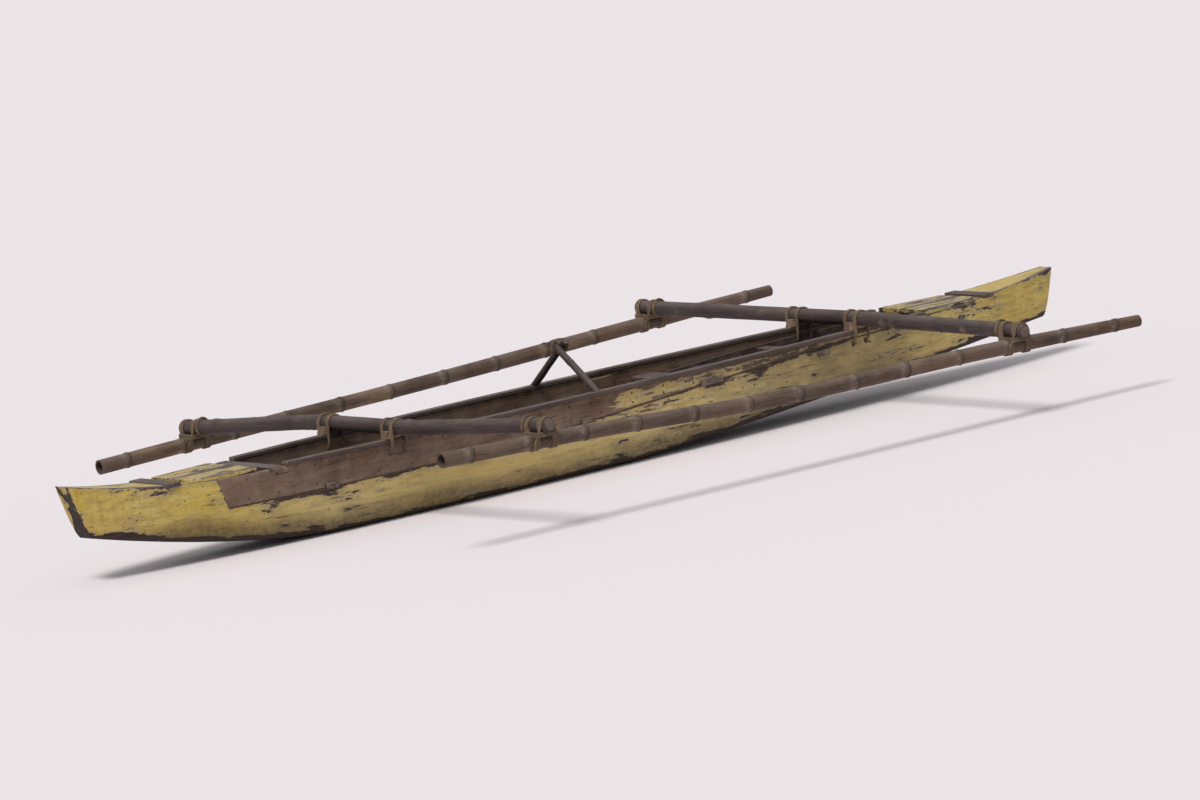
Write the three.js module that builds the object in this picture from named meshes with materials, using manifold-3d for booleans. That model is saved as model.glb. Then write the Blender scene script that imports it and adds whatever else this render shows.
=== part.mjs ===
// A small double-outrigger dugout canoe, at its real size: a painted log hull raised by washstrakes,
// two straight booms lashed across its gunwales, and a bamboo float lashed under the booms on each side.
// Millimetres. +X towards the bow, +Y to port, +Z up. The origin is on the ground under the middle of the hull.
// "Station" means a distance forward from the stern end of the hull.

import * as THREE from "three";
import { mergeVertices } from "three/addons/utils/BufferGeometryUtils.js";
import Module from "manifold-3d";

const wasm = await Module();
wasm.setup();

// Hull form
const hullLength = 5300;
const widestStation = 2500;
const widestHalfBeam = 280;
const sternHalfBeam = 55;
const bowHalfBeam = 45;
const beamPower = 2.4;
const beamFullness = 0.9;
const flatShare = 0.48; // half width of the flat bottom, as a share of the half beam
const bilgePower = 0.4;
const sternKeel = { from: 1300, reach: 1220, rise: 200, power: 1.6 };
const bowKeel = { from: 2780, reach: 2440, rise: 190, power: 1.12 };
const sheerHeight = 342;
const sternSheer = { from: 860, reach: 860, rise: 95, power: 2.1 };
const bowSheer = { from: 4460, reach: 840, rise: 62, power: 1.7 };
// The raked faces at the two ends: stations at ground level and at a height above both ends.
const endCut = { height: 520, sternFoot: 145, sternHead: -25, bowFoot: 5155, bowHead: 5339 };

// Hull wood
const wall = 27;
const floorThick = 36;
const cavity = { from: 590, to: 4740, ramp: 130, rampRise: 130 };
const rim = { aft: 212, fore: 328, from: 1700, to: 4300 }; // height of the log's own edge under the washstrakes
const notch = { from: 700, to: 4350, scarf: 60 };
const strakeThick = 20;
const strakeButt = 2950;
const railFrom = 985;
const railTo = 4440;
const rail = { height: 20, outside: 14, inside: 30 };
const buttBlock = { length: 150, thick: 18, lowGap: 8, highGap: 10 };

// Planks across the hull
const thwartThick = 26;
const thwartTopLimit = 306;
const thwartOverRim = 20;
const thwartProud = 14;
const deckThick = 22;
const deckInset = 3;
const boardThick = 20;
const boardSink = 10;
const boardProud = 8;

// Outriggers
const floatOffset = 1375;
const floatRadius = 36;
const floatAft = -1630;
const floatFore = 2080;
const floatSag = { port: 5, starboard: 22 };
const caneJoint = { spacing: 285, bulge: 3, half: 9 };
const caneRadius = floatRadius - caneJoint.bulge; // between the joints
const boomRadius = 33;
const boomSides = 16;
const boomTip = { from: 1442, radius: 27 };
const boomHalf = 1456;
const boomLevelTo = 320; // the booms lie level across the hull this far out
const boomOverRail = 45; // the boom's centre above the rail's top
const saddle = { length: 96, foot: 120, height: 34 };

// The rest amidships: two sticks that cross over the hull
const rest = { station: 2605, radius: 17, footOffset: 262, crossing: 548, fork: 34 };

// Rope bands
const band = { width: 32, thick: 9, corner: 17 };
const tie = { width: 26, depth: 62, outerGap: 8, innerGap: 9 }; // the lashing of a boom to the hull, through its side

const clear = 0.4; // gap between pieces that bear on each other

const x = (station) => station - hullLength / 2;
const mix = (a, b, t) => a + (b - a) * t;
const clamp = (value, low, high) => Math.min(high, Math.max(low, value));
const steps = (from, to, count) => Array.from({ length: count + 1 }, (_, i) => mix(from, to, i / count));

function endRise(station, stern, bow) {
  const aft = Math.max(0, (stern.from - station) / stern.reach);
  const fore = Math.max(0, (station - bow.from) / bow.reach);
  return stern.rise * aft ** stern.power + bow.rise * fore ** bow.power;
}

const keel = (station) => endRise(station, sternKeel, bowKeel);
const sheer = (station) => sheerHeight + endRise(station, sternSheer, bowSheer);
const railTop = (station) => sheer(station) + rail.height;

function halfBeam(station) {
  const aft = station < widestStation;
  const reach = aft ? widestStation : hullLength - widestStation;
  const end = aft ? sternHalfBeam : bowHalfBeam;
  const t = clamp(Math.abs(station - widestStation) / reach, 0, 1);
  return end + (widestHalfBeam - end) * (1 - t ** beamPower) ** beamFullness;
}

// Half the hull's breadth at a height: flat bottom, round bilge, upright side.
function halfBreadth(station, height) {
  const bottom = keel(station);
  const share = clamp((height - bottom) / (sheer(station) - bottom), 0, 1);
  const flat = flatShare * halfBeam(station);
  return flat + (halfBeam(station) - flat) * (1 - (1 - share) ** 2) ** bilgePower;
}

function rimHeight(station) {
  const t = clamp((station - rim.from) / (rim.to - rim.from), 0, 1);
  return mix(rim.aft, rim.fore, t * t * (3 - 2 * t));
}

// A closed skin over rings of [x, y, z] points that follow one another towards +X, each ring
// counter-clockwise in Y and Z, with flat ends.
function loft(rings) {
  const count = rings[0].length;
  const index = [];
  for (let i = 0; i + 1 < rings.length; i++)
    for (let j = 0; j < count; j++) {
      const a = i * count + j;
      const b = i * count + ((j + 1) % count);
      index.push(a, b, a + count, b, b + count, a + count);
    }
  const outline = (ring) => ring.map(([, y, z]) => new THREE.Vector2(y, z));
  const last = (rings.length - 1) * count;
  for (const [a, b, c] of THREE.ShapeUtils.triangulateShape(outline(rings[0]), [])) index.push(a, c, b);
  for (const [a, b, c] of THREE.ShapeUtils.triangulateShape(outline(rings.at(-1)), []))
    index.push(last + a, last + b, last + c);
  const geometry = new THREE.BufferGeometry();
  geometry.setAttribute("position", new THREE.Float32BufferAttribute(rings.flat(2), 3));
  geometry.setIndex(index);
  return geometry;
}

function solid(geometry) {
  const loose = geometry.index ? geometry.toNonIndexed() : geometry;
  const bare = new THREE.BufferGeometry();
  bare.setAttribute("position", loose.getAttribute("position"));
  const merged = mergeVertices(bare, 1e-3);
  const vertProperties = merged.attributes.position.array;
  const triVerts = new Uint32Array(merged.index.array);
  return new wasm.Manifold(new wasm.Mesh({ numProp: 3, vertProperties, triVerts }));
}

function geometryOf(made) {
  const mesh = made.getMesh();
  const geometry = new THREE.BufferGeometry();
  geometry.setAttribute("position", new THREE.Float32BufferAttribute(mesh.vertProperties, 3));
  geometry.setIndex(new THREE.BufferAttribute(mesh.triVerts, 1));
  return geometry;
}

// An outline in X and Z, extruded to both sides of the middle plane, or between two values of Y.
function sidePrism(points, fromY, toY) {
  const shape = new THREE.Shape(points.map(([px, pz]) => new THREE.Vector2(px, pz)));
  const geometry = new THREE.ExtrudeGeometry(shape, { depth: toY - fromY, bevelEnabled: false });
  return geometry.rotateX(Math.PI / 2).translate(0, toY, 0);
}

function block(fromX, toX, fromY, toY, fromZ, toZ) {
  const geometry = new THREE.BoxGeometry(toX - fromX, toY - fromY, toZ - fromZ);
  return geometry.translate((fromX + toX) / 2, (fromY + toY) / 2, (fromZ + toZ) / 2);
}

// The hull's form from keel to top, taken in by a wall, over a floor and up past the sheer.
function hullRing(station, wallHere, bottom, top, levels) {
  const side = steps(0, 1, levels).map((t) => {
    const height = mix(bottom, top, t * t);
    return [Math.max(halfBreadth(station, height - (wallHere ? floorThick / 2 : 0)) - wallHere, 8), height];
  });
  const port = side.map(([y, z]) => [x(station), y, z]);
  const starboard = side.map(([y, z]) => [x(station), -y, z]).reverse();
  return [...starboard, ...port];
}

function hullLog() {
  const stations = [0, 90, 200, 340, 500, 680, 860, 1080, 1300, 1700, 2100, 2500, 2750, 3000, 3300, 3600,
    3900, 4200, 4460, 4640, 4800, 4950, 5080, 5190, 5300];
  const outside = loft(stations.map((s) => hullRing(s, 0, keel(s), sheer(s), 9)));
  const inner = [590, 650, 720, 950, 1300, 1700, 2100, 2500, 2900, 3300, 3700, 4000, 4280, 4480, 4610, 4680, 4740];
  const inside = loft(
    inner.map((s) => {
      const nearEnd = Math.max(0, 1 - Math.min(s - cavity.from, cavity.to - s) / cavity.ramp);
      return hullRing(s, wall, keel(s) + floorThick + cavity.rampRise * nearEnd ** 2, sheer(s) + 60, 7);
    }),
  );
  const [beforeStern, beyondBow] = [x(-60), x(hullLength + 60)];
  const { height, sternFoot, sternHead, bowFoot, bowHead } = endCut;
  const ends = [
    [[beforeStern, 0], [x(sternFoot), 0], [x(sternHead), height], [beforeStern, height]],
    [[x(bowFoot), 0], [beyondBow, 0], [beyondBow, height], [x(bowHead), height]],
  ].map((outline) => sidePrism(outline, -200, 200));
  const removed = [inside, ...ends, notchPrism(0), ...cuts()];
  return geometryOf(removed.reduce((made, cut) => made.subtract(solid(cut)), solid(outside)));
}

// The room for the washstrakes above the log's rim, with a slanted scarf at each end.
function notchPrism(gap) {
  const high = 600;
  const floor = steps(notch.from + gap, notch.to - gap, 18).map((s) => [x(s), rimHeight(s) + gap]);
  return sidePrism(
    [...floor, [x(notch.to + notch.scarf * 2 - gap), high], [x(notch.from - notch.scarf * 2 + gap), high]],
    -400,
    400,
  );
}

// A strip that follows one side of the hull between two stations and two heights.
// outset and inset say how far its faces lie outside and inside of the hull's own surface.
function sideStrip(side, stations, low, high, outset, inset, levels = 3) {
  const rings = stations.map((s) => {
    const heights = steps(low(s), high(s), levels);
    const outer = heights.map((z) => [x(s), side * (halfBreadth(s, z) + outset), z]);
    const inner = heights.map((z) => [x(s), side * (halfBreadth(s, z) - inset), z]).reverse();
    const ring = [...outer, ...inner];
    return side > 0 ? ring : ring.reverse();
  });
  return loft(rings);
}

function strake(side, from, to) {
  const low = (s) => rimHeight(s) - 30;
  const strip = solid(sideStrip(side, steps(from, to, 12), low, sheer, 0, strakeThick, 4));
  const whole = strip.intersect(solid(notchPrism(clear)));
  return geometryOf(cuts().reduce((made, cut) => made.subtract(solid(cut)), whole));
}

function gunwaleRail(side) {
  const low = (s) => sheer(s) + clear;
  return sideStrip(side, steps(railFrom, railTo, 16), low, railTop, rail.outside, rail.inside, 1);
}

function strakeButtBlock(side) {
  const ends = steps(strakeButt - buttBlock.length / 2, strakeButt + buttBlock.length / 2, 3);
  const low = (s) => rimHeight(s) + buttBlock.lowGap;
  const high = (s) => sheer(s) - buttBlock.highGap;
  return sideStrip(side, ends, low, high, -strakeThick - clear, strakeThick + buttBlock.thick, 1);
}

// Thwarts: name, station, width along the hull. Their ends stand out through the hull's sides.
const thwarts = [
  { name: "thwart_1", station: 1190, width: 62 },
  { name: "thwart_2", station: 1850, width: 120 },
  { name: "thwart_3", station: 2510, width: 70 },
  { name: "thwart_4", station: 3190, width: 120 },
  { name: "thwart_5", station: 3830, width: 62 },
];

const thwartTop = (station) => Math.min(rimHeight(station) + thwartOverRim, thwartTopLimit);

function thwartBlock({ station, width }, gap, proud) {
  const top = thwartTop(station);
  const half = halfBreadth(station, top) + proud;
  const at = x(station);
  return block(at - width / 2 - gap, at + width / 2 + gap, -half, half, top - thwartThick - gap, top + gap);
}
const thwartSlot = (thwart) => thwartBlock(thwart, clear, 100);

// Short decks at the two ends of the hull: name, first and last station.
const decks = [
  { name: "deck_stern", from: 540, to: 850 },
  { name: "deck_bow", from: 4470, to: 4790 },
];

function deckBlock({ from, to }, gap, outset) {
  const outline = (side) => steps(from - gap, to + gap, 4).map((s) => [x(s), side * (halfBeam(s) + outset)]);
  const points = [...outline(-1), ...outline(1).reverse()].map(([px, py]) => new THREE.Vector2(px, py));
  const depth = deckThick + 2 * gap + (gap ? 100 : 0);
  const geometry = new THREE.ExtrudeGeometry(new THREE.Shape(points), { depth, bevelEnabled: false });
  return geometry.translate(0, 0, sheerHeight - gap + clear);
}
const deckSlot = (deck) => deckBlock(deck, clear, 100);

// Narrow boards let into the top of the hull: name, station, width along the hull.
const boards = [
  { name: "crosspiece_stern", station: 460, width: 66 },
  { name: "crosspiece_aft", station: 935, width: 60 },
  { name: "crosspiece_bow", station: 4850, width: 66 },
];

function boardBlock({ station, width }, gap, proud) {
  const bottom = sheer(station) - boardSink;
  const half = halfBeam(station) + proud;
  const at = x(station);
  const top = bottom + boardThick + (gap ? 60 : 0);
  return block(at - width / 2 - gap, at + width / 2 + gap, -half, half, bottom - gap, top);
}
const boardSlot = (board) => boardBlock(board, clear, 100);

// Everything that the log and the strakes are cut away for.
const cuts = () => [
  ...thwarts.map(thwartSlot),
  ...decks.map(deckSlot),
  ...boards.map(boardSlot),
  ...booms.flatMap((boom) => [-1, 1].flatMap((side) => tieHoles(boom, side))),
];

// A round pole along X, from rows of { at, y, z, radius }.
function pole(rows, sides) {
  const turn = (i) => (2 * Math.PI * (i + 0.5)) / sides;
  const point = ({ at, y, z, radius }, i) => [at, y + radius * Math.cos(turn(i)), z + radius * Math.sin(turn(i))];
  return loft(rows.map((row) => Array.from({ length: sides }, (_, i) => point(row, i))));
}

const boomCentre = (station) => railTop(station) + boomOverRail;
// Each boom's station, and how far it stands above its own middle where it crosses each float.
const booms = [
  { name: "rear", station: 1530, port: -70, starboard: 53 },
  { name: "front", station: 4050, port: 0, starboard: -18 },
];

// Height of a boom's centre line above its middle: level over the hull, and straight out from there.
function boomLift(boom, y) {
  const outside = clamp((Math.abs(y) - boomLevelTo) / (floatOffset - boomLevelTo), 0, 1.1);
  return (y > 0 ? boom.port : boom.starboard) * outside;
}

const boomSlope = (boom, side) =>
  Math.atan2(side * boomLift(boom, side * floatOffset), floatOffset - boomLevelTo);

function boomPole(boom) {
  const reach = [boomLevelTo, 700, 1080, boomTip.from, boomHalf];
  const rows = [...reach.map((y) => -y).reverse(), ...reach].map((y) => ({
    at: y,
    y: 0,
    z: boomLift(boom, y),
    radius: Math.abs(y) > boomTip.from ? boomTip.radius : boomRadius,
  }));
  return pole(rows, boomSides).rotateZ(Math.PI / 2);
}

// The block between rail and boom, hollowed to the boom.
function saddleBlock(boom, side) {
  const middle = boomOverRail;
  const top = saddle.height;
  const radius = boomRadius + clear;
  const open = Math.asin((middle - top) / radius);
  const arc = steps(-open, -(Math.PI - open), 10).map((a) => [radius * Math.cos(a), middle + radius * Math.sin(a)]);
  const outline = [[-saddle.foot / 2, clear], [saddle.foot / 2, clear], [saddle.length / 2, top], ...arc,
    [-saddle.length / 2, top]];
  const centre = side * (halfBeam(boom.station) + (rail.outside - rail.inside) / 2);
  const half = (rail.outside + rail.inside) / 2 - 1;
  return sidePrism(outline, centre - half, centre + half);
}

// The faces of a hull lashing's two arches that look at the rail.
const tieFaces = (boom) => ({
  outer: halfBeam(boom.station) + rail.outside + tie.outerGap,
  inner: halfBeam(boom.station) - rail.inside - tie.innerGap,
});

// The two cross stretches of a hull lashing, one on each side of the boom.
function tieRods(boom, side, grow) {
  const at = boomRadius + clear * 2 + band.thick / 2;
  const half = band.thick / 2 + grow;
  const { inner, outer } = tieFaces(boom);
  const ends = [side * (inner - tie.width), side * (outer + tie.width)].sort((a, b) => a - b);
  const height = -boomOverRail - tie.depth;
  return [-1, 1].map((end) => block(end * at - half, end * at + half, ...ends, height - half, height + half));
}

const tieHoles = (boom, side) =>
  tieRods(boom, side, clear).map((rod) => rod.translate(x(boom.station), 0, boomCentre(boom.station)));

// A hull lashing, about the boom's centre line: an arch over the boom on each side of the rail,
// joined through the hull's side.
function hullTie(boom, side) {
  const pieces = tieRods(boom, side, 0);
  const { inner, outer } = tieFaces(boom);
  const radius = boomRadius + clear * 2;
  for (const [from, to] of [[inner - tie.width, inner], [outer, outer + tie.width]]) {
    const [low, high] = [side * from, side * to].sort((a, b) => a - b);
    pieces.push(halfRing(radius, low, high));
    for (const end of [-1, 1]) {
      const [near, far] = [end * radius, end * (radius + band.thick)].sort((a, b) => a - b);
      pieces.push(block(near, far, low, high, -boomOverRail - tie.depth - band.thick / 2, 1));
    }
  }
  return geometryOf(pieces.map(solid).reduce((a, b) => a.add(b)));
}

// A half ring about X or Y, over or under a pole.
function halfRing(radius, from, to) {
  const arc = (r, turns) => turns.map((a) => new THREE.Vector2(r * Math.cos(a), r * Math.sin(a)));
  const turns = steps(0, Math.PI, 12);
  const shape = new THREE.Shape([...arc(radius + band.thick, turns), ...arc(radius, turns.toReversed())]);
  return new THREE.ExtrudeGeometry(shape, { depth: to - from, bevelEnabled: false })
    .rotateX(Math.PI / 2)
    .translate(0, to, 0);
}

// A square lashing: bands over the boom and under the float, joined by four uprights.
// Its frame: the float's centre line at height 0 along X, the boom's above it along Y.
// The bands lie square to the boom and to the float, each at its own slope.
function squareLashing(boom, side) {
  const over = boomRadius + clear * 2;
  const under = caneRadius + clear * 3;
  const pieces = [];
  for (const way of [-1, 1]) {
    const [nearY, farY] = way > 0 ? [under, under + band.width] : [-under - band.width, -under];
    pieces.push(halfRing(over, nearY, farY).rotateX(boomSlope(boom, side)).translate(0, 0, boomRise));
    const [nearX, farX] = way > 0 ? [over, over + band.width] : [-over - band.width, -over];
    pieces.push(halfRing(under, nearX, farX).rotateY(Math.PI).rotateZ(Math.PI / 2).rotateY(-floatSlope(side)));
    for (const end of [-1, 1]) {
      const [ax, bx] = way > 0 ? [over, over + band.corner] : [-over - band.corner, -over];
      const [ay, by] = end > 0 ? [under, under + band.corner] : [-under - band.corner, -under];
      pieces.push(block(ax, bx, ay, by, -6, boomRise + 6));
    }
  }
  return geometryOf(pieces.map(solid).reduce((a, b) => a.add(b)));
}

// From the float's centre up to the boom's, which bears on the cane with one of its flat sides.
const boomRise = caneRadius + boomRadius * Math.cos(Math.PI / boomSides) + clear;
const [rearBoom, frontBoom] = booms;
const floatHeight = (boom, side) =>
  boomCentre(boom.station) + boomLift(boom, side * floatOffset) - boomRise;

const floatSlope = (side) =>
  Math.atan2(floatHeight(frontBoom, side) - floatHeight(rearBoom, side), frontBoom.station - rearBoom.station);

// Height of a float's centre line: straight but for a sag between the booms.
function floatLine(side, at) {
  const t = (at - x(rearBoom.station)) / (x(frontBoom.station) - x(rearBoom.station));
  const chord = mix(floatHeight(rearBoom, side), floatHeight(frontBoom, side), t);
  const sag = side > 0 ? floatSag.port : floatSag.starboard;
  return t > 0 && t < 1 ? chord - sag * Math.sin(Math.PI * t) ** 2 : chord;
}

// A float: one bamboo, thick at its aft end, with a ring at each joint of the cane.
function bambooFloat(side) {
  const taper = (at) => mix(floatRadius, floatRadius - 7, clamp((at - x(frontBoom.station)) / 680, 0, 1));
  const rows = [{ at: floatAft, radius: floatRadius - 1 }];
  for (let at = floatAft + 150; at < floatFore - 60; at += caneJoint.spacing)
    for (const [shift, bulge] of [[-caneJoint.half, 0], [0, caneJoint.bulge], [caneJoint.half, 0]]) {
      const underBoom = booms.some((b) => Math.abs(x(b.station) - at) < 100);
      rows.push({ at: at + shift, radius: taper(at) - caneJoint.bulge + (underBoom ? 0 : bulge) });
    }
  rows.push({ at: floatFore, radius: floatRadius - 11 });
  return pole(rows.map((row) => ({ ...row, y: side * floatOffset, z: floatLine(side, row.at) })), 14);
}

// A stick of the rest, from its foot on one rail up over the middle of the hull.
function restStick(side) {
  const foot = railTop(rest.station);
  const lean = Math.atan2(rest.crossing - foot, rest.footOffset);
  const climb = Math.hypot(rest.crossing - foot, rest.footOffset);
  const rows = steps(-70, climb + rest.fork, 6).map((at) => ({ at, y: 0, z: 0, radius: rest.radius }));
  const stick = pole(rows, 12)
    .rotateY(-lean)
    .rotateZ(side > 0 ? -Math.PI / 2 : Math.PI / 2)
    .translate(x(rest.station) + side * (rest.radius + clear), side * rest.footOffset, foot);
  const at = x(rest.station);
  const below = block(at - 100, at + 100, -400, 400, foot - 200, foot + clear);
  return geometryOf(solid(stick).subtract(solid(below)));
}

// The band that ties the two sticks where they cross.
function restBand() {
  const halfX = 2 * rest.radius + 2 * clear;
  const halfZ = rest.radius + 14;
  const ring = (grow) => {
    const corner = rest.radius * 0.8 + grow;
    const outline = [];
    for (const [cx, cz, start] of [[1, 1, 0], [-1, 1, 1], [-1, -1, 2], [1, -1, 3]])
      for (const a of steps((start * Math.PI) / 2, ((start + 1) * Math.PI) / 2, 4))
        outline.push(
          new THREE.Vector2(
            cx * (halfX + grow - corner) + corner * Math.cos(a),
            cz * (halfZ + grow - corner) + corner * Math.sin(a),
          ),
        );
    return outline;
  };
  const shape = new THREE.Shape(ring(band.thick - 2));
  shape.holes.push(new THREE.Path(ring(0.5)));
  const geometry = new THREE.ExtrudeGeometry(shape, { depth: 22, bevelEnabled: false });
  return geometry.rotateX(Math.PI / 2).translate(0, 11, 0);
}

// Finishes
const finish = (color, roughness) => new THREE.MeshStandardMaterial({ color, roughness, metalness: 0 });
const yellowPaint = finish(0xb8962e, 0.62);
const greyPlank = finish(0x86695a, 0.85);
const darkTimber = finish(0x5b4a44, 0.85);
const bamboo = finish(0x7d6c66, 0.7);
const rope = finish(0x6f675c, 0.95);

const canoe = new THREE.Group();
canoe.name = "outrigger_canoe";
const hull = new THREE.Group();
const outriggers = new THREE.Group();
canoe.add(hull, outriggers);

function place(group, name, geometry, material, px = 0, py = 0, pz = 0) {
  const mesh = new THREE.Mesh(geometry, material);
  mesh.name = name;
  mesh.position.set(px, py, pz);
  group.add(mesh);
  return mesh;
}

const sides = [
  { side: 1, word: "port" },
  { side: -1, word: "starboard" },
];

place(hull, "hull_log", hullLog(), yellowPaint);
for (const { side, word } of sides) {
  const last = notch.to + notch.scarf;
  place(hull, `strake_aft_${word}`, strake(side, notch.from - notch.scarf, strakeButt - clear), greyPlank);
  place(hull, `strake_fore_${word}`, strake(side, strakeButt + clear, last), yellowPaint);
  place(hull, `butt_block_${word}`, strakeButtBlock(side), greyPlank);
  place(hull, `rail_${word}`, gunwaleRail(side), darkTimber);
}
for (const thwart of thwarts) place(hull, thwart.name, thwartBlock(thwart, 0, thwartProud), darkTimber);
for (const deck of decks) place(hull, deck.name, deckBlock(deck, 0, -deckInset), yellowPaint);
for (const board of boards) place(hull, board.name, boardBlock(board, 0, boardProud), darkTimber);

for (const boom of booms) {
  place(outriggers, `boom_${boom.name}`, boomPole(boom), darkTimber, x(boom.station), 0, boomCentre(boom.station));
  for (const { side, word } of sides) {
    const railHere = railTop(boom.station);
    place(outriggers, `saddle_${boom.name}_${word}`, saddleBlock(boom, side), greyPlank, x(boom.station), 0, railHere);
    place(outriggers, `lashing_hull_${boom.name}_${word}`, hullTie(boom, side), rope,
      x(boom.station), 0, boomCentre(boom.station));
    place(outriggers, `lashing_float_${boom.name}_${word}`, squareLashing(boom, side), rope,
      x(boom.station), side * floatOffset, floatHeight(boom, side));
  }
}
for (const { side, word } of sides) {
  place(outriggers, `float_${word}`, bambooFloat(side), bamboo);
  place(hull, `rest_stick_${word}`, restStick(side), darkTimber);
}
place(hull, "rest_lashing", restBand(), rope, x(rest.station), 0, rest.crossing);

export default canoe;
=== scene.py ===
import math

import bpy
import numpy as np
from mathutils import Matrix, Vector


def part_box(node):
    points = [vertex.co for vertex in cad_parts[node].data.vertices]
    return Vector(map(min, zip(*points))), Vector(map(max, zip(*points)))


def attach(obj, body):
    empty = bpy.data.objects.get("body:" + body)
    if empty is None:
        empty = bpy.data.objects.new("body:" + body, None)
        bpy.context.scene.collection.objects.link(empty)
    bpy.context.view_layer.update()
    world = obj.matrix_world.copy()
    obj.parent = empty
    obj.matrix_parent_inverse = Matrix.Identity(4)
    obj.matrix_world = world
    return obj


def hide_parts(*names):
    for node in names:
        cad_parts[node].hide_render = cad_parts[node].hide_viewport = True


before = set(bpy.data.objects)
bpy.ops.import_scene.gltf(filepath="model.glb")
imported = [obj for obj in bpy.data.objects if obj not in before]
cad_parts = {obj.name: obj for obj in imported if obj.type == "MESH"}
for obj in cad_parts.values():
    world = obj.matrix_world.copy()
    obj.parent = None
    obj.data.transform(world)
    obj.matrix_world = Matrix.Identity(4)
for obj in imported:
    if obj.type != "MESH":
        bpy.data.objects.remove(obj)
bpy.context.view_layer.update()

print("frame loaded:", len(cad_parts), "nodes")

# The camera stands off the starboard quarter, far away with a long lens, and leans to one side.
cameraView = {
    "turn": 34.07,        # degrees from square abeam towards the stern
    "height": 7.98,       # degrees above the gunwales' plane
    "lean": 7.81,         # degrees, bow up in the picture
    "distance": 40.0,
    "pixelsPerMetre": 228.0,
    "frameWidth": 1200,
    "sensor": 36.0,
    "aim": (0.107, 0.281),   # metres to the right of and above the origin, as the camera sees it
}


def wayTo(turn, height):
    # the direction that stands turned from starboard towards the stern, and raised, by two angles in radians
    return Vector((-math.sin(turn) * math.cos(height), -math.cos(turn) * math.cos(height), math.sin(height)))


def placeCamera(view):
    turn, height, lean = (math.radians(view[key]) for key in ("turn", "height", "lean"))
    back = wayTo(turn, height)
    right = Vector((math.cos(turn), -math.sin(turn), 0))
    up = back.cross(right)
    target = right * view["aim"][0] + up * view["aim"][1]
    across = right * math.cos(lean) - up * math.sin(lean)
    upward = right * math.sin(lean) + up * math.cos(lean)
    data = bpy.data.cameras.new("camera")
    data.sensor_width = view["sensor"]
    data.lens = view["sensor"] * view["pixelsPerMetre"] * view["distance"] / view["frameWidth"]
    data.clip_start, data.clip_end = 0.5, 400
    camera = bpy.data.objects.new("camera", data)
    bpy.context.scene.collection.objects.link(camera)
    axes = Matrix((across, upward, back)).transposed()
    camera.matrix_world = Matrix.Translation(target + back * view["distance"]) @ axes.to_4x4()
    bpy.context.scene.camera = camera


placeCamera(cameraView)

# The hull's curves. A station is a distance forward from the stern end.
hullForm = {
    "length": 5.3, "widest": 2.5, "halfBeam": 0.28, "sternHalfBeam": 0.055, "bowHalfBeam": 0.045,
    "beamPower": 2.4, "beamFullness": 0.9, "flatShare": 0.48, "bilgePower": 0.4,
    "sternKeel": (1.3, 1.22, 0.2, 1.6), "bowKeel": (2.78, 2.44, 0.19, 1.12),
    "sheer": 0.342, "sternSheer": (0.86, 0.86, 0.095, 2.1), "bowSheer": (4.46, 0.84, 0.062, 1.7),
    "cutHeight": 0.52, "sternFoot": 0.1454, "sternHead": -0.0246, "bowFoot": 5.1546, "bowHead": 5.3386,
    "wall": 0.027, "floor": 0.036, "cavity": (0.59, 4.74), "ramp": 0.13,
    "rimAft": 0.212, "rimFore": 0.328, "rimFrom": 1.7, "rimTo": 4.3,
    "notchFrom": 0.7, "notchTo": 4.35, "notchTop": 0.6, "scarf": 0.12,
    "strake": 0.02, "butt": 2.95, "railFrom": 0.985, "railTo": 4.44,
    "railHeight": 0.02, "railOutside": 0.014, "railInside": 0.03,
}
bothSides = ((1, "port"), (-1, "starboard"))   # the sign of Y, and the word in the names


def xAt(station):
    return station - hullForm["length"] / 2


def smooth(low, high, value):
    # 0 below low, 1 above high, and an even S between
    t = np.clip((value - low) / (high - low), 0, 1)
    return t * t * (3 - 2 * t)


def endRise(station, stern, bow):
    # a power curve that starts at a station and climbs towards each end
    aft = np.maximum(0, (stern[0] - station) / stern[1])
    fore = np.maximum(0, (station - bow[0]) / bow[1])
    return stern[2] * aft ** stern[3] + bow[2] * fore ** bow[3]


def keelAt(station):
    return endRise(station, hullForm["sternKeel"], hullForm["bowKeel"])


def sheerAt(station):
    return hullForm["sheer"] + endRise(station, hullForm["sternSheer"], hullForm["bowSheer"])


def halfBeamAt(station):
    # full at the widest station, and a rounded power curve down to each end's own half beam
    f = hullForm
    aft = station < f["widest"]
    reach = np.where(aft, f["widest"], f["length"] - f["widest"])
    end = np.where(aft, f["sternHalfBeam"], f["bowHalfBeam"])
    t = np.clip(np.abs(station - f["widest"]) / reach, 0, 1)
    return end + (f["halfBeam"] - end) * (1 - t ** f["beamPower"]) ** f["beamFullness"]


def halfBreadthAt(station, height):
    # flat bottom, then a round bilge that turns into an upright side
    bottom = keelAt(station)
    share = np.clip((height - bottom) / (sheerAt(station) - bottom), 0, 1)
    beam = halfBeamAt(station)
    flat = hullForm["flatShare"] * beam
    return flat + (beam - flat) * (1 - (1 - share) ** 2) ** hullForm["bilgePower"]


def rimAt(station):
    # the log's own edge under the strakes: an even S from its height aft to its height forward
    t = smooth(hullForm["rimFrom"], hullForm["rimTo"], station)
    return hullForm["rimAft"] + (hullForm["rimFore"] - hullForm["rimAft"]) * t


def notchAt(station):
    # the floor of the room for the washstrakes, with a steep scarf at each end
    f = hullForm
    sternSlope = (f["notchTop"] - rimAt(f["notchFrom"])) / f["scarf"]
    bowSlope = (f["notchTop"] - rimAt(f["notchTo"])) / f["scarf"]
    climbAft = np.maximum(f["notchFrom"] - station, 0) * sternSlope
    climbFore = np.maximum(station - f["notchTo"], 0) * bowSlope
    return rimAt(np.clip(station, f["notchFrom"], f["notchTo"])) + (climbAft + climbFore)


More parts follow.
